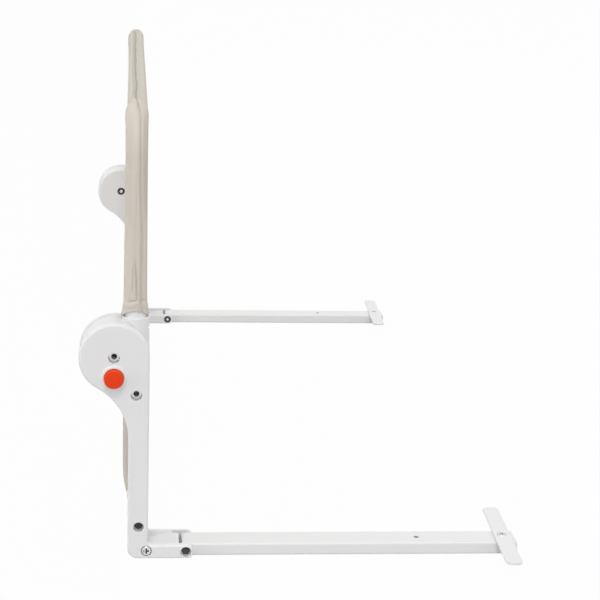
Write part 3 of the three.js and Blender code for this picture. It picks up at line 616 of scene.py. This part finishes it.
def fasteners(material):
    """A head with a softened edge and a shank below it, at each point, with its top at the point."""
    tree = Tree("fastener", material, screw_sizes)
    head, height, shank, length, corners, cross, turn = (tree.sizes[name] for name in screw_sizes)
    edge = height * 0.28
    low = height - edge

    def lifted(geometry, top):
        shift = tree.add("ShaderNodeCombineXYZ", {"Z": top * -1.0})
        return tree.add("GeometryNodeTransform", {"Geometry": geometry, "Translation": shift})

    def cylinder(vertices, radius, depth):
        return tree.add("GeometryNodeMeshCylinder", {"Vertices": vertices, "Radius": radius, "Depth": depth})

    def cone(vertices, top, bottom, depth):
        return tree.add("GeometryNodeMeshCone", {
            "Vertices": vertices, "Radius Top": top, "Radius Bottom": bottom, "Depth": depth})

    whole = tree.add("GeometryNodeMeshBoolean", {1: [
        lifted(cone(corners, head - edge, head, edge), edge),
        lifted(cylinder(corners, head, low), edge + low * 0.5),
        lifted(cylinder(24, shank, length), height + length * 0.5 - 0.01),
    ]}, operation="UNION")
    arm, deep = cross * 0.3, height * 1.1
    recess = [tree.add("GeometryNodeMeshCube", {"Size": tree.add("ShaderNodeCombineXYZ", {
        along: cross, across: arm, "Z": deep})}) for along, across in (("X", "Y"), ("Y", "X"))]
    recess.append(cone(24, arm * 1.25, 0.01, deep * 1.2))
    crossed = tree.add("GeometryNodeMeshBoolean", {0: whole, 1: recess}, operation="DIFFERENCE")
    has_cross = tree.add("FunctionNodeCompare", {0: cross, 1: 0.0}, data_type="FLOAT",
                         operation="GREATER_THAN")
    return tree.finish(tree.add("GeometryNodeInstanceOnPoints", {
        "Points": tree.add("GeometryNodeMeshToPoints", {"Mesh": tree.sizes["Geometry"]}),
        "Instance": tree.add("GeometryNodeSwitch", {0: has_cross, 1: whole, 2: crossed}, input_type="GEOMETRY"),
        "Rotation": tree.add("ShaderNodeCombineXYZ", {"X": turn}),
    }))


outward, inward, upward = quarter, -quarter, 0.0
housing_screw = (4.8, 3.6, 2.2, 33.0, 48, 4.6, inward)
bright_ones, black_ones = fasteners(bright_steel), fasteners(black_steel)


def fasten(side, body, tree, name, place, replaced, *sizes):
    """One screw, bolt or nut in its place in the unit, with its sizes in the order of screw_sizes."""
    thing = tree.grow(name, [place], **dict(zip(screw_sizes, sizes)))
    set_in_place(thing, name, side, tree.material, replaced, body, 25)


for side in sides:
    (x, z), half, reach, top, bottom = heel_screw, 0.95, 3.1, 1.0, 1.9
    fasten(side, "side_frames", bright_ones, "heel_screw", (x, 0.25, z), ["corner_screw"],
           5.7, 3.1, 2.2, 40.0, 64, 6.6, outward)
    # Painted shade: a black steel cross sits in the heel screw's cross recess, in place of the recess's shade.
    painted_shade_cross = join(block(x - reach, x + reach, top, bottom, z - half, z + half),
                      block(x - half, x + half, top, bottom, z - reach, z + reach))
    set_in_place(painted_shade_cross, "heel_screw_cross", side, black_steel)
    for name, (x, z) in (("hinge", hinge), ("upper", upper_screw)):
        washer = turned(x, z, [(6.1, recess_depth - 0.9), (6.4, recess_depth - 0.6), (6.4, recess_depth)])
        cut(washer, bar(x, z, 3.55, recess_depth - 2, recess_depth + 1))
        set_in_place(washer, f"{name}_washer", side, bright_steel)
    # A black insert at the floor of the lower screw's recess: the screw's insert, whose black also paints in
    # the deep recess's shade.
    insert = turned(*lower_screw, [(2.2, 11.2), (2.2, 10.2), *rounded(insert_radius, 10, 1, 0.5),
                                   (insert_radius, insert_end)])
    set_in_place(insert, "lower_screw_insert", side, black_steel)
    for tree, name, (x, z), depth, replaced, sizes in (
            (black_ones, "hinge_bolt_end", hinge, 52.6, ["hinge_bolt"],
             (5.25, 4.4, 3.0, 29.0, 48, 0.0, inward)),
            (bright_ones, "hinge_bolt_core", hinge, 53.6, [], (3.1, 1.6, 1.0, 1.0, 32, 0.0, inward)),
            (black_ones, "upper_screw", upper_screw, 51.4, ["upper_housing_screw"], housing_screw),
            (black_ones, "lower_screw", lower_screw, 51.4, ["lower_housing_screw"], housing_screw),
            (black_ones, "arm_bolt_head", arm_pivot, 55.6, ["arm_bolt"],
             (5.5, 3.2, 3.0, 48.0, 48, 0.0, inward)),
            (bright_ones, "arm_bolt_core", arm_pivot, 56.3, [], (2.2, 1.2, 1.0, 0.8, 32, 0.0, inward)),
            (black_ones, "arm_bolt_nut", arm_pivot, 5.8, ["arm_nut"], (5.3, 1.1, 2.8, 0.4, 6, 0.0, outward))):
        fasten(side, "side_frames", tree, name, (x, depth, z), replaced, *sizes)


# Bed arms: flat steel tube, bent round at the root where the foot clasps it, powder coated
# white, with a fixing hole in its top and a white plug in its open end.
white_steel = grained("white_steel", (0.85, 0.85, 0.85), 0.97, (5, 2), 0.34, 0.1, (140, 2),
                      [((650, 1), 0.00004, 0.25)], IOR=1.5, Coat_Weight=0.15, Coat_Roughness=0.2)
arm_width, arm_height, arm_wall, arm_corner = 39, 15, 1.5, 2.5
arm_end, cap_end = 452.5, 454.5
paddle_x, paddle_low, paddle_high = 439.6, 15.3, 18.0


def arm_section(inset):
    """The arm's section across its length, as depth and height, drawn in evenly."""
    half = arm_width / 2 - inset
    return rounded_box(unit_middle - half, unit_middle + half, inset, arm_height - inset,
                       max(arm_corner - inset, 0.4), 6)


def arm_prism(inset, start, end):
    return layered("prism", arm_section, ((inset, start), (inset, end)), lambda u, z, x: (x, u, z))


def bed_arm():
    root = arc(*arm_pivot, arm_height / 2, quarter, 3 * quarter, 32)
    side_view = [*root, (arm_end, 0), (arm_end, arm_height)]
    tube = carve(arm_prism(0, 40, arm_end), slab(side_view, 0, unit_depth), "INTERSECT")
    hole_x = arm_end - 117.5
    return cut(
        tube,
        arm_prism(arm_wall, 30, arm_end + 1),
        bar(*arm_pivot, 3.3, 0, unit_depth),
        upright(hole_x, unit_middle, [(3.2, 8), (3.2, 14.7), (3.7, 15.2), (3.7, 16)]),
        upright(paddle_x, unit_middle, [(3.3, 8), (3.3, 16)]),
    )


def arm_cap():
    layers = ((0, arm_end), (0, cap_end - 0.9), (0.2, cap_end - 0.35), (0.5, cap_end - 0.08), (0.95, cap_end))
    flange = layered("flange", arm_section, layers, lambda u, z, x: (x, u, z))
    return join(flange, arm_prism(1.8, arm_end - 6, arm_end + 1))


for side in sides:
    set_in_place(bed_arm(), "arm_tube", side, white_steel, ["bed_arm"], f"{side}_arm")
    set_in_place(arm_cap(), "arm_cap", side, white_plastic, ["arm_end_cap"], f"{side}_arm")


# Paddles: white steel cross plates that keep the arms in place under the mattress. Each
# turns on a countersunk screw near the arm's end, and stands a little off square.
paddle_turn = radians(-2.5)


def paddle_plate(side):
    turn = paddle_turn * -sides[side]
    plate = layered(
        "plate", lambda inset: rounded_box(inset - 10, 10 - inset, inset - 94, 94 - inset, 8 - inset, 10),
        ((0.7, paddle_low), (0.2, paddle_low + 0.2), (0, paddle_low + 0.7), (0, paddle_high - 0.9),
         (0.25, paddle_high - 0.3), (0.8, paddle_high)), lambda x, u, z: (x, u, z))
    cut(plate, upright(0, 0, [(3.3, 14), (3.3, 15.8), (7.0, 18.0), (7.0, 19)]))
    plate.data.transform(Matrix.Translation((paddle_x, unit_middle, 0)) @ Matrix.Rotation(turn, 4, "Z"))
    return plate


for side in sides:
    set_in_place(paddle_plate(side), "paddle_blade", side, white_steel, ["paddle"], f"{side}_paddle_plate")
    fasten(side, f"{side}_arm", bright_ones, "paddle_cross_screw", (paddle_x, unit_middle, 18.1),
           ["paddle_screw"], 6.6, 2.4, 3.0, 8.0, 64, 6.4, upward)


# Frame tubes and what else is inside: bent steel tube, powder coated, sleeved by the cloth,
# with the steel pieces in the hinges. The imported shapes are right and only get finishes.
finishes = {slot_name(material): material
            for material in (white_plastic, white_steel, orange_plastic, bright_steel, black_steel)}
slot_of = {part["node"]: part["material_slot"] for part in frame["record"]["subparts"]}
for name, node in frame["nodes"].items():
    if slot_of[name] in finishes:
        for place in node.material_slots:
            place.material = finishes[slot_of[name]]


# Cover and skirt: one beige woven polyester cloth, two panels sewn together along their edge,
# pulled over the frame tubes. Its cuffs end on the hinge sockets and its hem wraps the cross tube.
cloth_x, cloth_half, cloth_wall = -5, 13.5, 0.8
tube_radius = 11
crown_z, bend_y, bend_z, bend = 519.5, 527.5, 475.5, 44
straight_y = 510
side_y = bend_y + bend
cuff_z = 287.6
skirt_end, skirt_turn, skirt_ease = 540, 532, 32
hem_radius, hem_start, hem_fullness = 9.8, 64, 1.22
back_taper = ((hem_start, -14.9), (70, -16.3), (78, -17.4), (88, -18.1), (100, -18.4), (140, -18.5))
front_taper = ((hem_start, 7.2), (82, 7.9), (100, 8.5))
edge_half = np.array([13.1, 12.3, 11.2, 10, 8.9, 8, 7.2, 6.5, 5.8, 5.1, 4.4, 3.7, 3, 2.3, 1.6, 0.8, 0])
round_edge = np.concatenate((edge_half, -edge_half[-2::-1])) / cloth_half
column_pitch = 8.5
half_columns = np.concatenate((np.arange(0, straight_y, column_pitch), np.linspace(straight_y, skirt_end, 5),
                               np.linspace(skirt_end, side_y, 6)[1:]))
columns = np.concatenate((-half_columns[:0:-1], half_columns))
between_posts = np.abs(columns) <= skirt_end


def drawn_in(y, edge, limit):
    """Columns near the edge move in, so that the outermost of them stands at the edge."""
    size = np.abs(y)
    return np.sign(y) * np.where(size > straight_y, straight_y + (size - straight_y) * (edge - straight_y)
                                 / (limit - straight_y), size)


def ring(z, y, front, back, turn, out):
    """A ring round the cloth: front panel, far edge, back panel, near edge. Each point holds its
    place, how far it has gone round from the front's middle, and its part of the thickness."""
    middle, half = (front + back) / 2, max((front - back) / 2, 1e-9)
    wrap = turn + cloth_half * np.arccos(np.abs(round_edge))
    x = np.concatenate((np.full(len(y), front), middle + half * round_edge, np.full(len(y), back),
                        middle - half * round_edge))
    across = np.concatenate((y, turn + out, y[::-1], -(turn + out)))
    run = np.concatenate((y, wrap, y[::-1], -wrap))
    return np.column_stack((x, across, np.full(len(x), z), run, (x - middle) / half, np.full(len(x), middle)))


def cover_ring(depth, z):
    """A ring above the cuffs, where the cloth's edge goes round the bent tube."""
    rise = max(z - bend_z, 0)
    inner = bend_y + sqrt(max(bend ** 2 - rise ** 2, 0))
    radius = bend + np.sqrt(cloth_half ** 2 - (depth * round_edge) ** 2)
    out = bend_y + np.sqrt(np.maximum(radius ** 2 - rise ** 2, 0)) - inner
    whole = ring(z, drawn_in(columns, inner, side_y), cloth_x + depth, cloth_x - depth, inner, out)
    whole[:, 4] *= depth / cloth_half
    return whole


def skirt_ring(z, front, back):
    """A ring below the cuffs, between the side units."""
    ease = min((cuff_z - z) / skirt_ease, 1)
    turn = skirt_end - (skirt_end - skirt_turn) * ease * ease * (3 - 2 * ease)
    out = (skirt_end - turn) * np.sqrt(1 - round_edge ** 2)
    return ring(z, drawn_in(columns[between_posts], turn, skirt_end), front, back, turn, out)


cover_rows = [(cloth_half, z) for z in np.concatenate((
    np.linspace(cuff_z, 310, 18), np.linspace(310, 330, 6)[1:], np.linspace(330, bend_z, 20)[1:],
    bend_z + bend * np.sin(np.linspace(0, quarter, 25)[1:])))]
cover_rows += [(d, crown_z + sqrt(cloth_half ** 2 - d ** 2)) for d in edge_half]
skirt_rows = [(cuff_z, cloth_x + cloth_half, cloth_x - cloth_half)]
for z in np.concatenate((np.linspace(cuff_z, 92, 28)[1:], np.linspace(92, hem_start, 11)[1:])):
    skirt_rows.append((z, np.interp(z, *zip(*front_taper)), np.interp(z, *zip(*back_taper))))
for a in np.linspace(0.25, 1, 8) * quarter:
    reach = hem_radius * cos(a)
    skirt_rows.append((hem_z + 0.2 - hem_radius * sin(a), hem_x + reach, hem_x - hem_fullness * reach))

count, turns = len(columns), len(round_edge)
inside = int(between_posts.sum())
cover_rings = [cover_ring(*row) for row in cover_rows]
skirt_rings = [skirt_ring(*row) for row in skirt_rows]
cloth = np.concatenate(cover_rings + skirt_rings)
starts = np.cumsum([0] + [len(r) for r in cover_rings + skirt_rings])
ids = [np.arange(low, high) for low, high in zip(starts, starts[1:])]


def closed_up(row, width):
    """The ring where front and back meet in one line: the back's points are the front's."""
    line = row[:width]
    return np.concatenate((line, np.full(turns, line[-1]), line[::-1], np.full(turns, line[0])))


tall, low = ids[:len(cover_rows)], ids[len(cover_rows):]
tall[-1], low[-1] = closed_up(tall[-1], count), closed_up(low[-1], inside)
low[0] = np.concatenate((tall[0][:count][between_posts], low[0][inside:inside + turns],
                         tall[0][count + turns:2 * count + turns][between_posts[::-1]], low[0][-turns:]))
skirt_ends = [*range(inside - 1, inside + turns), *range(2 * inside + turns - 1, 2 * (inside + turns))]


def round_tube(corners):
    """Whether a face at the skirt's end lies where the lower cross tube comes out."""
    x, _, z = cloth[corners, :3].mean(axis=0)
    return hypot(x - hem_x, z - hem_z) < hem_radius + 0.2


def band(under, over, ends=()):
    """The faces between two rings. A face whose points fall together has three corners, or is left
    out. The skirt's ends stay open round the tube."""
    faces = []
    for k in range(len(under)):
        j = (k + 1) % len(under)
        corners = list(dict.fromkeys(int(c) for c in (under[k], under[j], over[j], over[k])))
        if len(corners) > 2 and not (k in ends and round_tube(corners)):
            faces.append(corners)
    return faces


faces = [face for under, over in zip(tall, tall[1:]) for face in band(under, over)]
for over, under in zip(low, low[1:]):
    faces += band(under, over, skirt_ends)
used = np.unique(np.array([c for face in faces for c in face]))
order = np.zeros(len(cloth), int)
order[used] = np.arange(len(used))
faces = [[int(order[c]) for c in face] for face in faces]
cloth = cloth[used]


def ease_in(value, low, high):
    share = np.clip((value - low) / (high - low), 0, 1)
    return share * share * (3 - 2 * share)


def dip(value, width):
    return np.exp(-(value / width) ** 2)


def stretch(value, low, high, soft):
    return ease_in(value, low - soft, low + soft) * (1 - ease_in(value, high - soft, high + soft))


def drift(along, seed):
    """A slow wander between about -1 and 1."""
    return (0.5 * np.sin(along / 61 + seed) + 0.3 * np.sin(along / 27 + 2.1 * seed)
            + 0.2 * np.sin(along / 11.3 + 3.7 * seed))


side = np.sign(cloth[:, 1])
y, z, thick, middle = np.abs(cloth[:, 1]), cloth[:, 2], cloth[:, 4], cloth[:, 5]
out_y, out_z = np.maximum(y - bend_y, 0), np.maximum(z - bend_z, 0)
radius = np.maximum(np.hypot(out_y, out_z), 1e-9)
corner, on_top = (out_y > 0) & (out_z > 0), (out_y == 0) & (out_z > 0)
away = np.where(corner[:, None], np.column_stack((out_y, out_z)) / radius[:, None],
                np.where(on_top[:, None], (0.0, 1.0), (1.0, 0.0)))
upright_run, bend_run = bend_z - cuff_z, bend * quarter
along = np.where(corner, upright_run + bend * np.arctan2(out_z, np.maximum(out_y, 1e-9)),
                 np.where(on_top, upright_run + bend_run + bend_y - y, z - cuff_z))
half_run = upright_run + bend_run + bend_y
walk = side * (half_run - along)
bulge = np.sqrt(np.clip(1 - thick ** 2, 0, 1))

# Thickness: tight over the top tube, fuller at the bends, wider down to the cuffs, and drawn
# together inside the frame. The back stands further out than the front.
width_at = (0, 5, 17, 40, 95, 140, 185, 232, 244, 253, 261, half_run)
front_edge, back_edge = (np.interp(along, width_at, widths) for widths in (
    (15.8, 14.6, 13.5, 13.2, 12.9, 12.6, 12.5, 12.9, 13.2, 12.9, 12.4, 12.4),
    (16.3, 15.0, 13.9, 13.8, 13.4, 13.0, 13.0, 13.4, 13.9, 13.1, 11.7, 11.6)))
within = np.where(corner, bend - radius, np.minimum(side_y - y, crown_z - z))
near = 1 - ease_in(within, 4, 42)
half = np.where(thick > 0, 12.6 + (front_edge - 12.6) * near, 12.4 + (back_edge - 12.4) * near)
row_half = np.abs(cloth[:, 0] - middle) / np.maximum(np.abs(thick), 1e-9)
half += (row_half - half) * ease_in(cuff_z - z, 0, 60)
from_side = side_y - (side_y - skirt_end) * (1 - ease_in(z, cuff_z, 350)) - y
sunk = 4.6 * ease_in(from_side, 12, 75) * ease_in(crown_z - z, 12, 75) * ease_in(z, 84, 170)
shaped = cloth[:, :3].copy()
facing = np.sign(thick)
shaped[:, 0] = middle + thick * half - facing * sunk

# Slack: the panels hang a little loose from the tubes, so they are let down as cloth, but for
# what the tubes hold. None moves far, or outward past the tubes.
last_frame, most_slack = 24, 5
hanging = in_scene("hanging", mesh_of("hanging", shaped * mm, faces))
held = (within < 13) | (z < 80) | (bulge > 0.05) | ((z <= cuff_z) & (y > 525))
pins = hanging.vertex_groups.new(name="held")
pins.add(np.nonzero(held)[0].tolist(), 1.0, "REPLACE")
cloth_sim = hanging.modifiers.new("cloth", "CLOTH")
set_all(cloth_sim.settings, quality=4, mass=0.25, tension_stiffness=12, compression_stiffness=12,
        shear_stiffness=4, bending_stiffness=0.08, shrink_min=-0.006, vertex_group_mass="held")
cloth_sim.collision_settings.use_collision = False
scene.frame_start, scene.frame_end = 1, last_frame
cloth_sim.point_cache.frame_end = last_frame
for step in range(1, last_frame + 1):
    scene.frame_set(step)
moved = np.zeros(len(cloth) * 3)
applied(hanging).data.vertices.foreach_get("co", moved)
moved = moved.reshape(-1, 3) / mm - shaped
far = np.linalg.norm(moved, axis=1)
moved *= (np.minimum(far, most_slack) / np.maximum(far, 1e-9))[:, None]
moved[:, 0] -= facing * np.maximum(facing * moved[:, 0] - np.maximum(sunk - 0.4, 0), 0)
shaped += moved
scene.frame_set(1)
bpy.data.objects.remove(hanging)

# Relief: the sunken seam with its raised lips, the folds that run beside it, the tuck where
# the cloth goes round the bend, and the cuff, whose band puffs and lifts over the socket.
s = cloth_half * thick
seam_at = (0, 100, 145, 190, 228, 243, 262, 300, 400, 600, 780)
seam_course = (6.7, 6.8, 5.6, 4.7, 4.4, 0.9, -1.2, -1.5, -0.9, -1.6, -2.2)
seam = np.interp(along, seam_at, seam_course)
seam = seam + 0.9 * drift(walk, 1.3) * ease_in(along, 20, 120) * (1 - 0.8 * stretch(along, 180, 262, 20))
depth = 1.7 - 1.1 * ease_in(walk, 400, 540)
low_half = 1 - ease_in(along, 90, 150)
relief = depth * (0.5 * dip(s - seam + 3.0, 1.7) + 0.42 * dip(s - seam - 2.9, 1.7)
                  - dip(s - seam, 1.05 + 0.4 * low_half))
relief -= 1.4 * ease_in(s - seam, 0, 6) * stretch(along, 118, 225, 16)
relief += 0.9 * (dip(s - 9.6, 2.6) + 0.6 * dip(s + 9.6, 2.6)) * ease_in(along, 255, 285)
wander = drift(walk, 4.0)
for height, centre, width, low_end, high_end, soft in (
        (1.1, 10.3, 2.6, 16, 105, 12), (-0.6, -8.2, 3, 105, 225, 14),
        (-0.7, 0.8 + 0.5 * wander, 1.5, 115, 168, 12), (-0.4, 0.8 * wander - 1.5, 2.2, 58, 118, 14),
        (-1.3, -3.4, 0.9, 28, 60, 6), (-1.7, 0.06 * (58 - along) - 0.3, 1.0, 20, 66, 6),
        (0.5, -1.7, 0.9, 30, 60, 6), (-0.9, -3, 3.2, 262, 360, 16)):
    relief += height * dip(s - centre, width) * stretch(along, low_end, high_end, soft)
pleat = np.clip(drift(walk, 2.2) - 0.15, 0, 1) * (1 - ease_in(walk, 420, 560))
relief -= 1.0 * pleat * dip(s + 3.2 - 1.5 * drift(walk, 0.4), 1.5) * ease_in(along, 262, 300)
second = seam - 4.6 + 1.1 * drift(walk, 5.3)
relief -= 0.9 * dip(s - second, 1.1) * ease_in(along, 275, 320)
relief += 0.18 * drift(walk * 5.1 + s, 0.7) * dip(s - seam, 5)
shoulder = 246 + 14 * bulge
relief += (1.2 * dip(along - shoulder + 7, 6) - 1.3 * dip(along - shoulder - 3, 3.0)) * bulge
relief += 0.7 * dip(s - 3.6, 1.3) * dip(along - 250, 4) - 1.1 * dip(s - 1.5, 1.2) * dip(along - 243, 6)
cuff = (z >= cuff_z) & (y > 541)
crease = stretch(s, -8.5, 1.8, 1.5) + stretch(s, 6.8, 9.8, 1)
relief -= cuff * 1.3 * dip(along - 17.5 - 0.12 * s, 1.6) * crease
relief += cuff * 0.9 * stretch(along, 6, 15, 2.5) * (1 - 0.5 * stretch(s, 2, 12, 1.5))
relief -= cuff * 0.9 * dip(along - 10.6 - 1.07 * (s - 2), 1.6) * stretch(s, 2, 6.3, 1)
relief *= (bulge > 0.02) & (z > hem_z + 14)
# Painted shade: the base colour darkens in the relief's hollows, in a broad band down the middle of the top
# run, and between the seam and the crease beside it.
painted_fold_shade = (np.clip(-relief / 2.4, 0, 1) + 0.3 * dip(s + 1.5, 7) * ease_in(along, 250, 275)
                + 0.58 * stretch(s - seam, -5.4, 0.4, 1.2) * ease_in(along, 275, 310))

# Panels: pulls that fan out from the cuffs and the upper corners, soft gathers under the top
# tube and over the hem's tunnel, and a slow unevenness in between. None stands proud.
face_of = np.where(thick < 0, 1.7, 0.0)
deepest = 7
hollow = np.zeros(len(cloth))
for from_y, from_z, count_of, size, reach_of in ((548, 296, 9, 4.2, 190), (538, 486, 8, 3.2, 170),
                                             (545, 70, 8, 2.6, 140)):
    apart_y, apart_z = from_y - y, z - from_z
    distance = np.hypot(apart_y, apart_z)
    fan = 0.5 + 0.5 * np.sin(count_of * np.arctan2(apart_z, apart_y) + 1.9 * side + face_of)
    hollow += size * fan * ease_in(distance, 16, 70) * dip(distance, reach_of)
signed_y = side * y
for size, course, seed, where in (
        (2.3, signed_y * 1.5, 0.9, dip(crown_z - z, 70) * ease_in(crown_z - z, 10, 40)),
        (1.8, signed_y * 1.3, 3.1, dip(z - 84, 56) * ease_in(z, 84, 106)),
        (2.2, signed_y * 0.33 + z * 0.55, 2.4, 1.0)):
    hollow += size * (0.5 + 0.5 * drift(course, seed + face_of)) * where
hollow = np.minimum(hollow, deepest) * ease_in(from_side, 8, 40)
hollow *= ease_in(crown_z - z, 8, 40) * ease_in(z, 80, 100)
# Painted shade: the panels' hollows darken in colour as well.
painted_fold_shade += hollow * 0.035

lift = (1.7 + 5.6 * bulge ** 2) * ease_in(y, 541, 556) * (1 - ease_in(along, 0, 26)) * cuff
shaped[:, 0] += thick * relief - facing * hollow
shaped[:, 1] += side * bulge * away[:, 0] * relief
shaped[:, 2] += bulge * away[:, 1] * relief + lift

# Nowhere closer to the tube than its own thickness.
from_tube = shaped[:, 0] - socket_x
tall_y, tall_z = np.abs(shaped[:, 1]), shaped[:, 2]
out_y, out_z = np.maximum(tall_y - bend_y, 0), np.maximum(tall_z - bend_z, 0)
radius = np.maximum(np.hypot(out_y, out_z), 1e-9)
beyond = np.where((out_y > 0) & (out_z > 0), radius - bend, np.maximum(tall_y - side_y, tall_z - crown_z))
clear = np.hypot(from_tube, beyond)
core = np.where(tall_z < neck_top + 4, neck_radius, tube_radius)
push = np.maximum(core + cloth_wall + 0.15 - clear, 0) * (z >= cuff_z) / np.maximum(clear, 1e-9)
shaped[:, 0] += push * from_tube
shaped[:, 1] += side * push * beyond * away[:, 0]
shaped[:, 2] += push * beyond * away[:, 1]


cloth_base, thread_pitch = (0.72, 0.66, 0.583), 0.0011
woven = Finish("beige_fabric", cloth_base, Roughness=0.9, Sheen_Weight=0.03, Sheen_Roughness=0.4,
               Specular_IOR_Level=0.2)
threads = woven.add("ShaderNodeUVMap", uv_map="UV")
across = woven.add("ShaderNodeSeparateXYZ", {0: threads})
crossing = [(way * (full_turn / thread_pitch)).step("SINE") for way in (across, across.beside("Y"))]
weave = crossing[0] * crossing[1] * 0.5 + 0.5
weft, warp = (woven.grain(1, 2, 0.5, woven.add("ShaderNodeMapping", {"Vector": threads, "Scale": scale}))
              for scale in ((60, 1500, 1), (1500, 60, 1)))
slubs = weft * 0.5 + warp * 0.5
# Painted shade: the 'crease' attribute darkens the base colour in the folds.
painted_shade = woven.add("ShaderNodeAttribute", output="Fac", attribute_name="crease")
tone = slubs * 0.29 + woven.grain(7, 3) * 0.17 + weave * 0.11 + 0.38 - painted_shade * 0.5
dark, light = (tuple(level * share for level in cloth_base) for share in (0.7, 1.12))
woven.drive("Base Color", woven.blend(tone, dark, light))
woven.drive("Roughness", slubs * 0.1 + 0.84)
woven.drive("Normal", woven.bump(weave, 0.00022, 0.45, woven.bump(slubs, 0.00035, 0.35)))
mesh = mesh_of("cover_cloth", (shaped - (post_shift, 0, 0)) * mm, faces)
mesh.polygons.foreach_set("use_smooth", [True] * len(mesh.polygons))
# The painted shade goes onto the mesh as the 'crease' attribute.
mesh.attributes.new("crease", "FLOAT", "POINT").data.foreach_set("value", painted_fold_shade)
uv_map = mesh.uv_layers.new(name="UV")
corners = np.zeros(len(mesh.loops), int)
mesh.loops.foreach_get("vertex_index", corners)
upward_run = np.where(on_top & (z > crown_z), crown_z + cloth_half * np.arcsin(bulge), z)
uv_map.data.foreach_set("uv", (np.column_stack((cloth[corners, 3], upward_run[corners])) * mm).ravel())
cover = in_scene("cover_cloth", mesh)
set_all(cover.modifiers.new("wall", "SOLIDIFY"), thickness=cloth_wall * mm, offset=-1)
mesh.materials.append(woven.material)
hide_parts("fabric_cover", "fabric_skirt")


# Stitching: rows of beige thread. One row holds the seam's allowance down beside the seam,
# and one on each face closes the tunnel round the lower cross tube.
thread = Finish("beige_thread", (0.62, 0.56, 0.5), Roughness=0.62, Sheen_Weight=0.1)
twist = thread.grain(2400, 2, 0.6)
thread.drive("Base Color", thread.blend(twist, (0.54, 0.48, 0.425), (0.67, 0.6, 0.54)))
thread.drive("Normal", thread.bump(twist, 0.00008, 0.5))

# Short rounded stitches lie end to end, with a small space between, along each line.
sewing = Tree("stitches", thread.material, ("pitch", "length", "width"))
line = sewing.add("GeometryNodeMeshToCurve", {"Mesh": sewing.sizes["Geometry"]})
spots = sewing.add("GeometryNodeCurveToPoints", {"Curve": line, "Length": sewing.sizes["pitch"]}, mode="LENGTH")
width = sewing.sizes["width"]
sewing.finish(sewing.add("GeometryNodeInstanceOnPoints", {
    "Points": spots,
    "Instance": sewing.add("GeometryNodeMeshUVSphere", {"Segments": 6, "Rings": 4, "Radius": 0.5}),
    "Rotation": spots.beside("Rotation"),
    "Scale": sewing.add("ShaderNodeCombineXYZ", {"X": width, "Y": width, "Z": sewing.sizes["length"]}),
}))
surface = BVHTree.FromPolygons([Vector(p) for p in shaped], faces)
needle_pitch, away = 6.0, 40


def on_cloth(start, inward):
    """The point on the cloth's outside that a needle meets, a little sunk in."""
    met = surface.ray_cast(Vector(start), Vector(inward))[0]
    return met - Vector(inward) * 0.12


def beside_seam(away_from_seam):
    """Points along the frame's tubes, from one cuff round to the other."""
    line = []
    for place in np.arange(9 - half_run, half_run - 8, needle_pitch):
        run, end = half_run - abs(place), 1 if place > 0 else -1
        across = np.interp(run, seam_at, seam_course) - away_from_seam
        turn = min(max((run - upright_run) / bend, 0), quarter)
        out_y, out_z = cos(turn), sin(turn)
        tube_y = bend_y + bend * out_y - max(run - upright_run - bend_run, 0)
        tube_z = bend_z + bend * out_z + min(run - upright_run, 0)
        start = (cloth_x + across, end * (tube_y + away * out_y), tube_z + away * out_z)
        line.append(on_cloth(start, (0, -end * out_y, -out_z)))
    return line


def sew(name, lines, body):
    points = [(p - Vector((post_shift, 0, 0))) * mm for line in lines for p in line]
    starts = np.cumsum([0] + [len(line) for line in lines])
    edges = [(k, k + 1) for low_end, high_end in zip(starts, starts[1:]) for k in range(low_end, high_end - 1)]
    thing = sewing.grow(name, points, edges, pitch=0.0034, length=0.0027, width=0.00055)
    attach(thing, body)
    return thing


tunnel_rows = [[on_cloth((away * face, across, hem_z + 17), (-face, 0, 0))
                for across in np.arange(-528, 529, needle_pitch)] for face in (1, -1)]
stitching = [sew("cover_stitching", [beside_seam(3.2)], "folding_rail"),
             sew("hem_stitching", tunnel_rows, "side_frames")]
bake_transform(cover)
